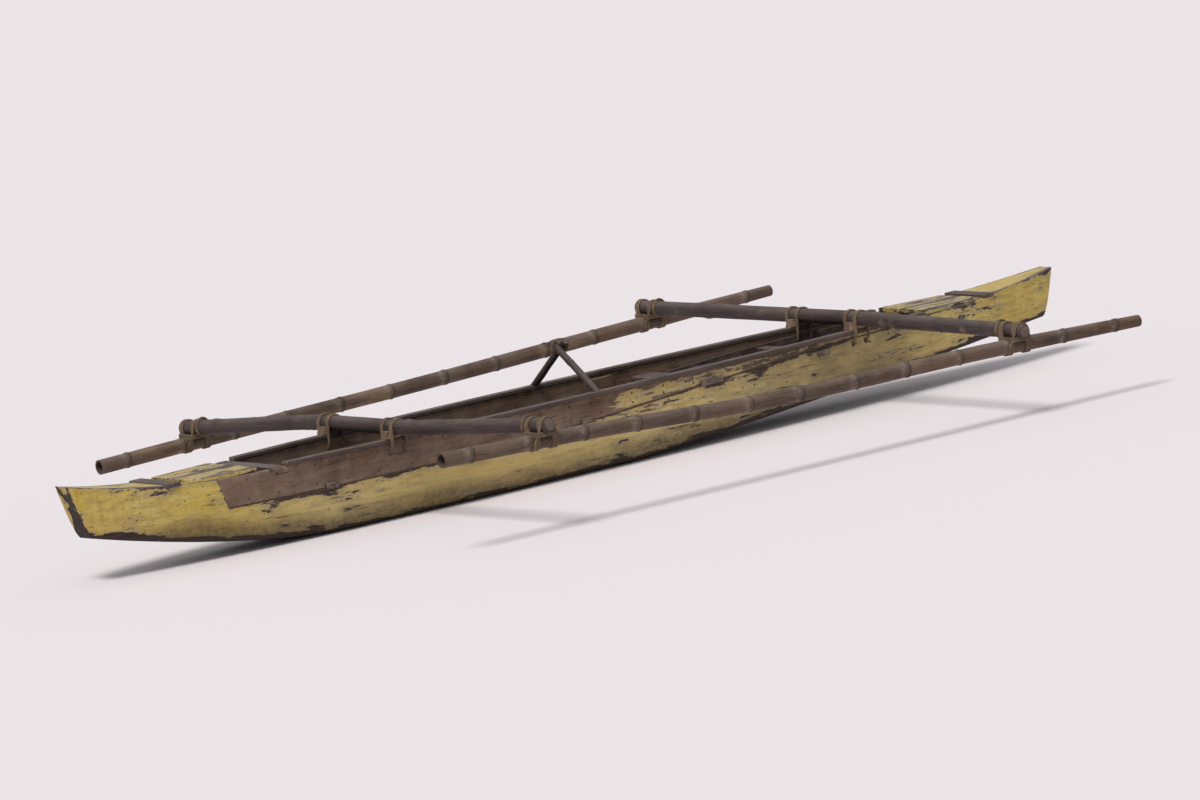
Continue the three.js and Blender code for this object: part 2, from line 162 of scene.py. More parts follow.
def cutToEnds(points):
    # points beyond the raked ends are pulled back onto the end faces
    f = hullForm
    share = points[..., 2] / f["cutHeight"]
    low = xAt(f["sternFoot"] + (f["sternHead"] - f["sternFoot"]) * share)
    high = xAt(f["bowFoot"] + (f["bowHead"] - f["bowFoot"]) * share)
    points[..., 0] = np.clip(points[..., 0], low, high)
    return points


def waves(points, size, seed, count=12):
    # smooth noise from about -1 to 1: the mean of sine waves in seeded directions, near size in wavelength
    draw = np.random.default_rng(seed)
    direction = draw.normal(size=(3, count))
    direction /= np.linalg.norm(direction, axis=0)
    rate = 2 * np.pi / size * draw.uniform(0.6, 1.6, count)
    return np.sin(points @ (direction * rate) + draw.uniform(0, 2 * np.pi, count)).mean(axis=-1) * 1.9


def bladeCuts(u, v, cell, seed):
    # hollows of a hewing blade: the squared distance to the nearest centre of a jittered grid of cells
    nearest = np.full(np.broadcast(u, v).shape, 9.0)
    cellU, cellV = np.floor(u / cell[0]), np.floor(v / cell[1])
    for stepU in (-1, 0, 1):
        for stepV in (-1, 0, 1):
            i, j = cellU + stepU, cellV + stepV
            shiftU = np.modf(np.abs(np.sin(i * 127.1 + j * 311.7 + seed) * 43758.5453))[0]
            shiftV = np.modf(np.abs(np.sin(i * 269.5 + j * 183.3 + seed) * 24634.6345))[0]
            away = (u / cell[0] - i - 0.2 - 0.6 * shiftU) ** 2 + (v / cell[1] - j - 0.2 - 0.6 * shiftV) ** 2
            nearest = np.minimum(nearest, away)
    return nearest


def unit(vectors, least=1e-9):
    # the same directions, each divided by its length
    return vectors / np.maximum(np.linalg.norm(vectors, axis=-1, keepdims=True), least)


def joined(x, y, z):
    # points from three arrays that fit one another's shape
    return np.stack(np.broadcast_arrays(x, y, z), -1)


def fullTurn(count):
    # even angles round a circle
    return 2 * np.pi * np.arange(count) / count


def rounded(wave, power):
    # a cosine or sine drawn out towards 1 and -1, which makes a round box of a circle
    return np.sign(wave) * np.abs(wave) ** power


def softBox(count, power):
    # a ring of (across, up) from -1 to 1: a circle's cosine and sine, drawn out to a box with round corners,
    # and a mark that is strong only in those corners
    angle = 2 * np.pi * (np.arange(count) + 0.5) / count
    across, up = rounded(np.cos(angle), 2 / power), rounded(np.sin(angle), 2 / power)
    return across, up, (np.abs(across) * np.abs(up)) ** 5


def ringsRound(line, normal, side, radius, angle):
    # circles of the given radius about each point of a line, in the plane of two directions
    return (line[:, None] + (radius * np.cos(angle))[..., None] * normal[:, None]
            + (radius * np.sin(angle))[..., None] * side[:, None])


def skin(rings, closed=False, marks=None):
    # a closed surface over rings of points, shape (rings, points, 3); open ends get a centre point each,
    # where the mark core is 0; it is 1 everywhere else
    n, m = rings.shape[:2]
    rows = np.arange(n if closed else n - 1)
    i, j = (grid.ravel() for grid in np.meshgrid(rows, np.arange(m), indexing="ij"))
    nextI, nextJ = (i + 1) % n, (j + 1) % m
    quads = np.stack([i * m + j, i * m + nextJ, nextI * m + nextJ, nextI * m + j], -1)
    verts = rings.reshape(-1, 3)
    tris = np.zeros((0, 3), int)
    marks = {**(marks or {}), "core": 1.0}
    marks = {key: np.broadcast_to(value, (n, m)).ravel() for key, value in marks.items()}
    if not closed:
        k = np.arange(m)
        first = np.stack([np.full(m, n * m), (k + 1) % m, k], -1)
        last = np.stack([np.full(m, n * m + 1), (n - 1) * m + k, (n - 1) * m + (k + 1) % m], -1)
        tris = np.concatenate([first, last])
        verts = np.concatenate([verts, rings[[0, -1]].mean(axis=1)])
        marks = {key: np.append(value, [value[0], value[-1]]) for key, value in marks.items()}
        marks["core"][-2:] = 0
    corners = verts[np.concatenate([quads[:, [0, 1, 2]], quads[:, [0, 2, 3]], tris])]
    if np.einsum("ij,ij->", corners[:, 0], np.cross(corners[:, 1], corners[:, 2])) < 0:
        quads, tris = quads[:, ::-1], tris[:, ::-1]
    return {"verts": verts, "quads": quads, "tris": tris, "marks": marks}


def makePiece(name, parts, material, nodes=(), sharp=38):
    # joins closed surfaces into one piece that rides on the canoe and stands for the named nodes
    offsets = np.cumsum([0] + [len(part["verts"]) for part in parts])[:-1]
    verts = np.concatenate([part["verts"] for part in parts])
    faces = []
    for kind in ("quads", "tris"):
        faces += np.concatenate([part[kind] + start for part, start in zip(parts, offsets)]).tolist()
    mesh = bpy.data.meshes.new(name)
    mesh.from_pydata(verts, [], faces)
    for key in parts[0]["marks"]:
        attribute = mesh.attributes.new(key, "FLOAT", "POINT")
        values = np.concatenate([part["marks"][key] for part in parts])
        attribute.data.foreach_set("value", values.astype(np.float32))
    mesh.shade_smooth()
    mesh.set_sharp_from_angle(angle=math.radians(sharp))
    mesh.materials.append(material)
    piece = bpy.data.objects.new(name, mesh)
    bpy.context.scene.collection.objects.link(piece)
    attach(piece, "root")
    if nodes:
        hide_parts(*nodes)


# Shader building

def put(tree, kind, inputs=None, **settings):
    # adds a node; an input that is a socket is linked, any other value is set, and a colour is made opaque
    node = tree.nodes.new(kind)
    for key, value in settings.items():
        setattr(node, key, value)
    for key, value in (inputs or {}).items():
        if isinstance(value, bpy.types.NodeSocket):
            tree.links.new(value, node.inputs[key])
        else:
            node.inputs[key].default_value = (*value, 1) if node.inputs[key].type == "RGBA" else value
    return node


def newGroup(name, inputs, outputs):
    # inputs are (label, value): None for a vector, a number, or three numbers for a colour
    tree = bpy.data.node_groups.new(name, "ShaderNodeTree")
    for label, value in inputs:
        kind = "Vector" if value is None else "Color" if isinstance(value, tuple) else "Float"
        socket = tree.interface.new_socket(label, in_out="INPUT", socket_type="NodeSocket" + kind)
        if value is not None:
            socket.default_value = (*value, 1) if kind == "Color" else value
    for label, kind in outputs:
        tree.interface.new_socket(label, in_out="OUTPUT", socket_type="NodeSocket" + kind)
    return tree, tree.nodes.new("NodeGroupInput").outputs, tree.nodes.new("NodeGroupOutput").inputs


def ramp(tree, value, stops):
    # a colour ramp from (position, grey or colour) stops
    node = put(tree, "ShaderNodeValToRGB", {"Fac": value})
    while len(node.color_ramp.elements) < len(stops):
        node.color_ramp.elements.new(0.5)
    for element, (position, shade) in zip(node.color_ramp.elements, stops):
        element.position = position
        element.color = (shade, shade, shade, 1) if isinstance(shade, (int, float)) else (*shade, 1)
    return node.outputs["Color"]


def blendColour(tree, factor, first, second, mode="MIX"):
    inputs = {"Factor": factor, 6: first, 7: second}
    return put(tree, "ShaderNodeMix", inputs, data_type="RGBA", blend_type=mode).outputs[2]


def maths(tree, operation, first, second):
    return put(tree, "ShaderNodeMath", {0: first, 1: second}, operation=operation).outputs[0]


def times(tree, first, *others):
    for other in others:
        first = maths(tree, "MULTIPLY", first, other)
    return first


def plus(tree, first, *others):
    for other in others:
        first = maths(tree, "ADD", first, other)
    return first


def noise(tree, vector, scale, detail=3.0, roughness=0.5, distortion=0.0):
    # a number as the scale is even; three numbers draw the pattern out along the axes
    if isinstance(scale, tuple):
        vector = put(tree, "ShaderNodeMapping", {"Vector": vector, "Scale": scale}).outputs[0]
        scale = 1.0
    inputs = {"Vector": vector, "Scale": scale, "Detail": detail, "Roughness": roughness,
              "Distortion": distortion}
    return put(tree, "ShaderNodeTexNoise", inputs).outputs["Fac"]


def mapRange(tree, value, low, high, first=0.0, last=1.0, **settings):
    # the first number where the value is low, the last where it is high, and even between them
    inputs = {"Value": value, "From Min": low, "From Max": high, "To Min": first, "To Max": last}
    return put(tree, "ShaderNodeMapRange", inputs, **settings).outputs[0]


def sRgb(red, green, blue):
    # a screen colour of 0 to 255 as the linear colour that shaders take
    share = np.array([red, green, blue]) / 255
    linear = np.where(share <= 0.04045, share / 12.92, ((share + 0.055) / 1.055) ** 2.4)
    return tuple(linear.tolist())


def buildGrain():
    # weathered timber: long fibres, slow bands and open checks, drawn along the vector's own X
    tree, given, result = newGroup(
        "timberGrain",
        [("Vector", None), ("Dark", sRgb(60, 42, 35)), ("Light", sRgb(124, 96, 80)),
         ("Silver", sRgb(142, 124, 112)), ("Silvering", 0.4), ("Size", 1.0), ("Rings", 0.15)],
        [("Color", "Color"), ("Height", "Float"), ("Checks", "Float")],
    )
    sized = put(tree, "ShaderNodeVectorMath", {0: given["Vector"], "Scale": given["Size"]},
                operation="SCALE").outputs[0]
    drift = put(tree, "ShaderNodeTexNoise", {"Vector": sized, "Scale": 2.2, "Detail": 2.0}).outputs["Color"]
    bent = put(tree, "ShaderNodeVectorMath", {0: drift, 1: (0.05, 0.05, 0.05), 2: sized},
               operation="MULTIPLY_ADD").outputs[0]
    fibres = noise(tree, bent, (5.0, 150.0, 150.0), 6.0, 0.62)
    bands = noise(tree, bent, (1.4, 26.0, 26.0), distortion=0.6)
    checks = ramp(tree, noise(tree, bent, (1.7, 95.0, 95.0)), [(0.655, 0.0), (0.70, 1.0)])
    ringInputs = {"Vector": bent, "Scale": 40.0, "Distortion": 11.0, "Detail": 3.0, "Detail Scale": 0.07,
                  "Detail Roughness": 0.6}
    rings = put(tree, "ShaderNodeTexWave", ringInputs, wave_type="RINGS", rings_direction="X").outputs["Fac"]
    ringShare = times(tree, maths(tree, "SUBTRACT", rings, 0.5), given["Rings"])
    tone = plus(tree, times(tree, fibres, 0.58), times(tree, bands, 0.42), ringShare)
    base = blendColour(tree, ramp(tree, tone, [(0.34, 0.0), (0.66, 1.0)]), given["Dark"], given["Light"])
    patches = ramp(tree, noise(tree, sized, 3.2, 5.0, 0.6), [(0.36, 0.0), (0.62, 1.0)])
    silvered = blendColour(tree, times(tree, patches, given["Silvering"]), base, given["Silver"])
    tree.links.new(blendColour(tree, times(tree, checks, 0.75), silvered, given["Dark"]), result["Color"])
    tree.links.new(maths(tree, "SUBTRACT", tone, times(tree, checks, 0.9)), result["Height"])
    tree.links.new(checks, result["Checks"])
    return tree


def buildPaint():
    # brushed paint over timber: flaked in patches along the grain, chipped, scratched, split where the
    # timber is checked, and thin with a paler first coat showing round each flake
    tree, given, result = newGroup(
        "brushedPaint",
        [("Vector", None), ("Paint", sRgb(190, 159, 60)), ("Faded", sRgb(200, 179, 102)),
         ("Primer", sRgb(190, 176, 140)), ("Darker", sRgb(126, 98, 48)), ("Timber", sRgb(90, 70, 62)),
         ("Chalk", sRgb(198, 184, 160)), ("Grain", 0.5), ("Checks", 0.0), ("Wear", 0.0), ("Amount", 0.3),
         ("Chalking", 0.0)],
        [("Color", "Color"), ("Height", "Float"), ("Coat", "Float")],
    )
    place = given["Vector"]
    flakes = noise(tree, place, (6.0, 22.0, 28.0), 9.0, 0.66)
    broad = noise(tree, place, 1.6)
    chips = noise(tree, place, (34.0, 80.0, 80.0), 4.0, 0.6)
    brushed = noise(tree, place, (4.0, 70.0, 70.0))
    scratches = ramp(tree, noise(tree, place, (1.2, 90.0, 60.0), 4.0), [(0.64, 0.0), (0.70, 1.0)])
    urge = plus(tree, times(tree, given["Wear"], 0.42), times(tree, given["Amount"], 0.3),
                times(tree, maths(tree, "SUBTRACT", broad, 0.5), 0.35))
    level = plus(tree, flakes, urge, times(tree, scratches, given["Amount"], 0.3))
    flaked = ramp(tree, level, [(0.70, 0.0), (0.735, 1.0)])
    chipped = ramp(tree, plus(tree, chips, times(tree, urge, 0.45)), [(0.715, 0.0), (0.735, 1.0)])
    bare = maths(tree, "MAXIMUM", flaked, chipped)
    split = times(tree, given["Checks"], ramp(tree, broad, [(0.42, 0.0), (0.58, 0.8)]))
    fade = ramp(tree, plus(tree, times(tree, broad, 0.6), times(tree, brushed, 0.4)),
                [(0.38, 0.0), (0.64, 1.0)])
    colour = blendColour(tree, fade, given["Paint"], given["Faded"])
    dull = ramp(tree, plus(tree, times(tree, flakes, 0.6), times(tree, brushed, 0.4)),
                [(0.35, 0.5), (0.6, 1.0)])
    colour = blendColour(tree, times(tree, given["Chalking"], dull), colour, given["Chalk"])
    colour = blendColour(tree, ramp(tree, level, [(0.55, 0.0), (0.70, 0.5)]), colour, given["Darker"])
    colour = blendColour(tree, ramp(tree, level, [(0.672, 0.0), (0.69, 0.5)]), colour, given["Primer"])
    colour = blendColour(tree, times(tree, scratches, 0.3), colour, given["Darker"])
    colour = blendColour(tree, split, colour, given["Timber"])
    tree.links.new(blendColour(tree, bare, colour, given["Timber"]), result["Color"])
    coat = maths(tree, "SUBTRACT", 1.0, maths(tree, "MAXIMUM", bare, split))
    film = times(tree, coat, plus(tree, 0.75, times(tree, brushed, 0.25)))
    under = times(tree, given["Grain"], plus(tree, 0.25, times(tree, bare, 0.6)))
    tree.links.new(plus(tree, film, under), result["Height"])
    tree.links.new(coat, result["Coat"])
    return tree


def buildGrimeAndShade():
    # beach grime and painted shade: darker low down, dark spots, streaks that ran down the sides, painted
    # shade with some soil where its mark says, and pale dust on what faces up
    tree, given, result = newGroup(
        "beachGrimeAndShade",
        [("Color", (0.5, 0.5, 0.5)), ("Vector", None), ("Normal", None), ("Height", 0.0),
         ("Darker", sRgb(56, 46, 36)), ("Dust", sRgb(188, 173, 161)), ("Low", 0.0), ("High", 0.1),
         ("Darkening", 0.5), ("Runs", 0.0), ("Soil", 0.0), ("Dusting", 0.3)],
        [("Color", "Color")],
    )
    uneven = noise(tree, given["Vector"], 5.0, 6.0, 0.6)
    height = plus(tree, given["Height"], times(tree, maths(tree, "SUBTRACT", uneven, 0.5), -0.12))
    # darker low down: the colour darkens below a height above the bottom line, made uneven by noise
    low = mapRange(tree, height, given["High"], given["Low"], interpolation_type="SMOOTHSTEP")
    speck = noise(tree, given["Vector"], 38.0, 5.0, 0.7)
    darkening = times(tree, low, given["Darkening"], ramp(tree, speck, [(0.3, 0.6), (0.6, 1.0)]))
    spots = times(tree, ramp(tree, speck, [(0.60, 0.0), (0.72, 1.0)]), given["Darkening"], 0.35)
    runs = ramp(tree, noise(tree, given["Vector"], (42.0, 42.0, 1.7), 4.0, 0.6), [(0.50, 0.0), (0.70, 1.0)])
    runs = times(tree, runs, mapRange(tree, height, 0.08, 0.36), given["Runs"])
    # painted shade with some soil: this mark darkens the forward half of the hull's sides in uneven patches
    soil = times(tree, given["Soil"], ramp(tree, uneven, [(0.34, 0.45), (0.56, 1.0)]))
    darker = maths(tree, "MAXIMUM", maths(tree, "MAXIMUM", darkening, spots), runs)
    # the painted shade with some soil joins the darkening here
    darker = maths(tree, "MAXIMUM", darker, plus(tree, soil, times(tree, darker, 0.3)))
    stainedAndShaded = blendColour(tree, darker, given["Color"], given["Darker"])
    facing = put(tree, "ShaderNodeSeparateXYZ", {0: given["Normal"]}).outputs[2]
    settled = mapRange(tree, facing, 0.25, 0.95)
    dust = times(tree, settled, ramp(tree, uneven, [(0.35, 0.25), (0.65, 1.0)]), given["Dusting"])
    tree.links.new(blendColour(tree, dust, stainedAndShaded, given["Dust"]), result["Color"])
    return tree


def buildEdgeWear():
    # rubbed edges: the marked edge, broken up by noise, takes a lighter colour
    tree, given, result = newGroup(
        "rubbedEdge",
        [("Color", (0.5, 0.5, 0.5)), ("Vector", None), ("Edge", 0.0), ("Rubbed", sRgb(164, 138, 114)),
         ("Amount", 0.7)],
        [("Color", "Color")],
    )
    breaks = ramp(tree, noise(tree, given["Vector"], 24.0, 5.0, 0.6), [(0.42, 0.0), (0.60, 1.0)])
    mask = times(tree, given["Edge"], breaks, given["Amount"])
    tree.links.new(blendColour(tree, mask, given["Color"], given["Rubbed"]), result["Color"])
    return tree


groups = {"grain": buildGrain(), "paint": buildPaint(), "grimeAndShade": buildGrimeAndShade(), "edge": buildEdgeWear()}


def startMaterial(name, roughness, specular=0.35):
    material = bpy.data.materials.new(name)
    material.use_nodes = True
    tree = material.node_tree
    shader = tree.nodes["Principled BSDF"]
    shader.inputs["Roughness"].default_value = roughness
    shader.inputs["Specular IOR Level"].default_value = specular
    return material, tree, shader


def useGroup(tree, key, inputs):
    return put(tree, "ShaderNodeGroup", inputs, node_tree=groups[key]).outputs


def useGrain(tree, turned, look):
    labels = ("dark", "light", "silver", "silvering", "size", "rings")
    return useGroup(tree, "grain", {"Vector": turned, **{key.capitalize(): look[key] for key in labels}})


def useGrimeAndShade(tree, colour, place, inputs):
    normal = put(tree, "ShaderNodeNewGeometry").outputs["Normal"]
    return useGroup(tree, "grimeAndShade", {"Color": colour, "Vector": place, "Normal": normal, **inputs})["Color"]


def mark(tree, name):
    return put(tree, "ShaderNodeAttribute", attribute_name=name).outputs["Fac"]


def objectVector(tree, along="x"):
    # object coordinates, plain and turned so that the grain's direction comes first
    place = put(tree, "ShaderNodeTexCoord").outputs["Object"]
    turns = {"x": (0, 0, 0), "y": (0, 0, -math.pi / 2)}
    return place, put(tree, "ShaderNodeMapping", {"Vector": place, "Rotation": turns[along]}).outputs[0]


def surface(tree, shader, look, colour, height, rough=None):
    # a material's colour, its relief as a bump and, where it varies, its roughness
    inputs = {"Height": height, "Strength": look["bump"], "Distance": look["relief"]}
    bump = put(tree, "ShaderNodeBump", inputs)
    tree.links.new(colour, shader.inputs["Base Color"])
    tree.links.new(bump.outputs[0], shader.inputs["Normal"])
    if rough:
        tree.links.new(rough, shader.inputs["Roughness"])


timberLooks = {
    "plank": {
        "dark": sRgb(52, 37, 29), "light": sRgb(112, 84, 65), "silver": sRgb(148, 128, 113),
        "rubbed": sRgb(164, 136, 108), "silvering": 0.45, "size": 1.0, "rings": 0.08,
        "roughness": 0.82, "bump": 0.5, "relief": 0.0025, "darkening": 0.35, "dust": 0.2,
    },
    "dark": {
        "dark": sRgb(34, 27, 26), "light": sRgb(88, 70, 62), "silver": sRgb(106, 93, 90),
        "rubbed": sRgb(134, 113, 97), "silvering": 0.35, "size": 1.2, "rings": 0.06,
        "roughness": 0.8, "bump": 0.5, "relief": 0.0025, "darkening": 0.3, "dust": 0.15,
    },
    "inside": {
        "dark": sRgb(31, 24, 24), "light": sRgb(76, 58, 52), "silver": sRgb(82, 69, 68),
        "rubbed": sRgb(116, 96, 81), "silvering": 0.3, "size": 0.8, "rings": 0.1,
        "roughness": 0.86, "bump": 0.6, "relief": 0.0025, "darkening": 0.5, "dust": 0.12,
    },
}
timberLooks["pole"] = {
    **timberLooks["dark"], "dark": sRgb(29, 23, 23), "light": sRgb(74, 58, 53), "silver": sRgb(92, 80, 79),
    "rubbed": sRgb(120, 101, 88), "sawn": sRgb(122, 105, 96),
}


def timberColour(tree, look, along, height, grimeAndShade=(0.0, 0.1)):
    # grain, rubbed edges and grime in that order; gives the colour and the grain's relief and checks
    place, turned = objectVector(tree, along)
    grain = useGrain(tree, turned, look)
    rubbed = useGroup(tree, "edge", {"Color": grain["Color"], "Vector": place, "Edge": mark(tree, "edge"),
                                     "Rubbed": look["rubbed"]})
    soiledAndShaded = useGrimeAndShade(tree, rubbed["Color"], place, {"Height": height, "Low": grimeAndShade[0], "High": grimeAndShade[1],
                                                     "Darkening": look["darkening"], "Dusting": look["dust"]})
    return soiledAndShaded, grain["Height"], grain["Checks"]


def cutEnd(tree, colour, look):
    # growth rings on a pole's cut end: waves of the mark core, from the pith out, under saw fuzz
    core, place = mark(tree, "core"), objectVector(tree)[0]
    phase = plus(tree, times(tree, core, 44.0), times(tree, noise(tree, place, 38.0), 17.0))
    rings = times(tree, maths(tree, "SINE", phase, 0.0), 0.15)
    tone = ramp(tree, plus(tree, rings, noise(tree, place, 260.0, 5.0)), [(0.25, 0.0), (0.75, 1.0)])
    pith = ramp(tree, core, [(0.05, 0.8), (0.16, 0.0)])
    sawn = blendColour(tree, tone, look["light"], look["sawn"])
    sawn = blendColour(tree, pith, sawn, look["dark"])
    return blendColour(tree, ramp(tree, core, [(0.93, 1.0), (0.99, 0.0)]), colour, sawn)


def timberMaterial(name, look, along, pole=False):
    material, tree, shader = startMaterial(name, look["roughness"])
    height = put(tree, "ShaderNodeSeparateXYZ", {0: objectVector(tree)[0]}).outputs[2]
    colour, relief, _ = timberColour(tree, look, along, height)
    if pole:
        colour = cutEnd(tree, colour, look)
    surface(tree, shader, look, colour, relief)
    return material


paintLook = {
    "paint": sRgb(186, 156, 62), "faded": sRgb(198, 178, 106), "primer": sRgb(196, 182, 146),
    "darker": sRgb(126, 98, 48), "roughness": 0.5, "bareRoughness": 0.85,
    "darkening": 0.75, "darkeningLow": 0.04, "darkeningHigh": 0.14, "runs": 0.3, "dust": 0.2, "bump": 0.5,
    "relief": 0.0022, "bareDarkening": (0.02, 0.12), "soil": 0.52, "chalk": 0.32,
}


def paintedMaterial(name, look, amount, bareLook):
    # paint outside, bare timber where the mark says inside, and the paint worn off where the mark says wear;
    # the mark rise is the height above the hull's bottom line
    material, tree, shader = startMaterial(name, look["roughness"])
    place = objectVector(tree)[0]
    rise = mark(tree, "rise")
    bare, relief, checks = timberColour(tree, bareLook, "x", rise, look["bareDarkening"])
    coat = useGroup(tree, "paint", {
        "Vector": place, "Paint": look["paint"], "Faded": look["faded"], "Primer": look["primer"],
        "Darker": look["darker"], "Timber": bare, "Grain": relief, "Checks": checks, "Amount": amount,
        "Wear": mark(tree, "wear"), "Chalking": times(tree, mark(tree, "chalk"), look["chalk"])})
    # grime, and painted shade with some soil on the forward half of the sides
    soiledAndShaded = useGrimeAndShade(tree, coat["Color"], place, {
        "Height": rise, "Low": look["darkeningLow"], "High": look["darkeningHigh"], "Darkening": look["darkening"],
        "Runs": look["runs"], "Dusting": look["dust"],
        "Soil": times(tree, mark(tree, "soil"), look["soil"])})
    inside = ramp(tree, mark(tree, "inside"), [(0.45, 0.0), (0.55, 1.0)])
    outside = maths(tree, "SUBTRACT", 1.0, inside)
    painted = times(tree, coat["Coat"], outside)
    rough = mapRange(tree, painted, 0.0, 1.0, look["bareRoughness"], look["roughness"])
    height = plus(tree, times(tree, coat["Height"], outside), times(tree, relief, inside))
    surface(tree, shader, look, blendColour(tree, inside, soiledAndShaded, bare), height, rough)
    return material


bambooLook = {
    "dark": sRgb(42, 31, 25), "light": sRgb(104, 80, 62), "silver": sRgb(114, 98, 88), "silvering": 0.4,
    "size": 1.6, "rings": 0.0, "ring": sRgb(44, 33, 28), "skin": sRgb(134, 108, 72),
    "bloom": sRgb(150, 140, 128), "shades": [(0.0, (0.74, 0.72, 0.70)), (1.0, (1.22, 1.18, 1.12))],
    "bump": 0.35, "relief": 0.0012,
}


def bambooMaterial(name, look):
    # grey weathered cane: fine fibres along X, patches of paler skin, a tone of its own for each length
    # between joints, dark rings at the joints, a powdery bloom beside them and black mould
    material, tree, shader = startMaterial(name, 0.55, 0.4)
    place, turned = objectVector(tree)
    grain = useGrain(tree, turned, look)
    patches = ramp(tree, noise(tree, place, (3.0, 16.0, 16.0), 6.0, 0.6), [(0.55, 0.0), (0.66, 1.0)])
    skinMask = times(tree, patches, 0.5)
    colour = blendColour(tree, skinMask, grain["Color"], look["skin"])
    colour = blendColour(tree, 1.0, colour, ramp(tree, mark(tree, "tone"), look["shades"]), "MULTIPLY")
    powder = ramp(tree, noise(tree, place, (40.0, 60.0, 60.0), 4.0, 0.6), [(0.4, 0.0), (0.6, 0.4)])
    colour = blendColour(tree, times(tree, mark(tree, "bloom"), powder), colour, look["bloom"])
    mould = ramp(tree, noise(tree, place, (60.0, 150.0, 150.0), 5.0, 0.7), [(0.62, 0.0), (0.72, 0.55)])
    colour = blendColour(tree, mould, colour, look["dark"])
    colour = blendColour(tree, times(tree, mark(tree, "ring"), 0.8), colour, look["ring"])
    soiledAndShaded = useGrimeAndShade(tree, colour, place, {"Height": 1.0, "Darkening": 0.5, "Dusting": 0.15})
    rough = mapRange(tree, skinMask, 0.0, 0.5, 0.75, 0.45)
    surface(tree, shader, look, soiledAndShaded, grain["Height"], rough)
    return material


ropeLook = {
    "dark": sRgb(44, 34, 28), "light": sRgb(126, 104, 84), "pale": sRgb(156, 134, 108),
    "bump": 0.6, "relief": 0.0006,
}


def ropeMaterial(name, look):
    # laid fibre: painted shade between the strands, hairy and uneven along them
    material, tree, shader = startMaterial(name, 0.9, 0.2)
    place = objectVector(tree)[0]
    hair = noise(tree, place, 900.0)
    patch = ramp(tree, noise(tree, place, 30.0, 4.0), [(0.35, 0.0), (0.65, 1.0)])
    tone = blendColour(tree, patch, look["light"], look["pale"])
    tone = blendColour(tree, ramp(tree, hair, [(0.35, 0.55), (0.65, 0.0)]), tone, look["dark"])
    # painted shade: the grooves between the strands are darkened
    valley = ramp(tree, mark(tree, "valley"), [(0.15, 0.0), (0.9, 0.9)])
    surface(tree, shader, look, blendColour(tree, valley, tone, look["dark"]), hair)
    return material


pegLook = {"fresh": sRgb(96, 76, 60), "old": sRgb(38, 30, 28), "bump": 0.5, "relief": 0.0008}


def pegMaterial(name, look):
    # end grain of the pegs and the dark pitch in the seam
    material, tree, shader = startMaterial(name, 0.75, 0.3)
    mottle = noise(tree, objectVector(tree)[0], 260.0, 5.0)
    colour = blendColour(tree, ramp(tree, mottle, [(0.35, 0.0), (0.65, 1.0)]), look["old"], look["fresh"])
    surface(tree, shader, look, colour, mottle)
    return material


materials = {
    "hull": paintedMaterial("yellowHull", paintLook, 0.26, timberLooks["inside"]),
    "strake": paintedMaterial("yellowPlank", paintLook, 0.45, timberLooks["plank"]),
    "deck": paintedMaterial("yellowDeck", paintLook, 0.45, timberLooks["inside"]),
    "plankX": timberMaterial("plankAlong", timberLooks["plank"], "x"),
    "darkX": timberMaterial("darkAlong", timberLooks["dark"], "x"),
    "darkY": timberMaterial("darkAcross", timberLooks["dark"], "y"),
    "pole": timberMaterial("peeledPole", timberLooks["pole"], "y", True),
    "bamboo": bambooMaterial("weatheredBamboo", bambooLook),
    "rope": ropeMaterial("laidRope", ropeLook),
    "peg": pegMaterial("darkPitch", pegLook),
}
print("materials built:", len(materials))

# The log hull
hullPiece = {
    "stations": 390, "flatPoints": 7, "sidePoints": 25, "rimPoints": 5, "innerPoints": 26, "floorPoints": 22,
    "rimRadius": 0.005, "cutDepth": 0.02, "cutCell": (0.075, 0.05), "outsideCell": (0.16, 0.07),
    "outsideDepth": 0.0016, "sway": 0.0016, "cutLevel": 0.22, "extraStations": 14, "leastInside": 0.008,
    "sideCrowding": 2.4, "wallCrowding": 2.0,    # powers that crowd the points towards the bottom
    "soilFrom": (3.1, 3.75), "soilTo": (4.15, 4.6),    # stations where the painted shade and soil come and go
    "chalkFrom": (0.6, 1.3), "chalkTo": (4.1, 4.8),
    "lowWear": 0.75, "lowHeight": 0.05, "endWear": 0.12, "endLength": (0.14, 0.02), "rimWear": 0.6,
    "riseAtEnds": 0.1, "riseAft": (0.15, 0.6), "riseFore": (3.9, 4.8),   # less darkening low down towards the ends
}


def hullStations(settings):
    # even stations, with more of them where the log steps down to the strakes and at the cavity's ends
    f = hullForm
    even = np.linspace(0, f["length"], settings["stations"])
    steps = [(f["notchFrom"] - 0.05, f["notchFrom"] + 0.012), (f["notchTo"] - 0.012, f["notchTo"] + 0.02),
             (f["cavity"][0] - 0.01, f["cavity"][0] + 0.07), (f["cavity"][1] - 0.07, f["cavity"][1] + 0.01),
             (0.0, 0.15), (f["length"] - 0.15, f["length"])]
    extra = [np.linspace(low, high, settings["extraStations"]) for low, high in steps]
    return np.unique(np.round(np.concatenate([even] + extra), 5))


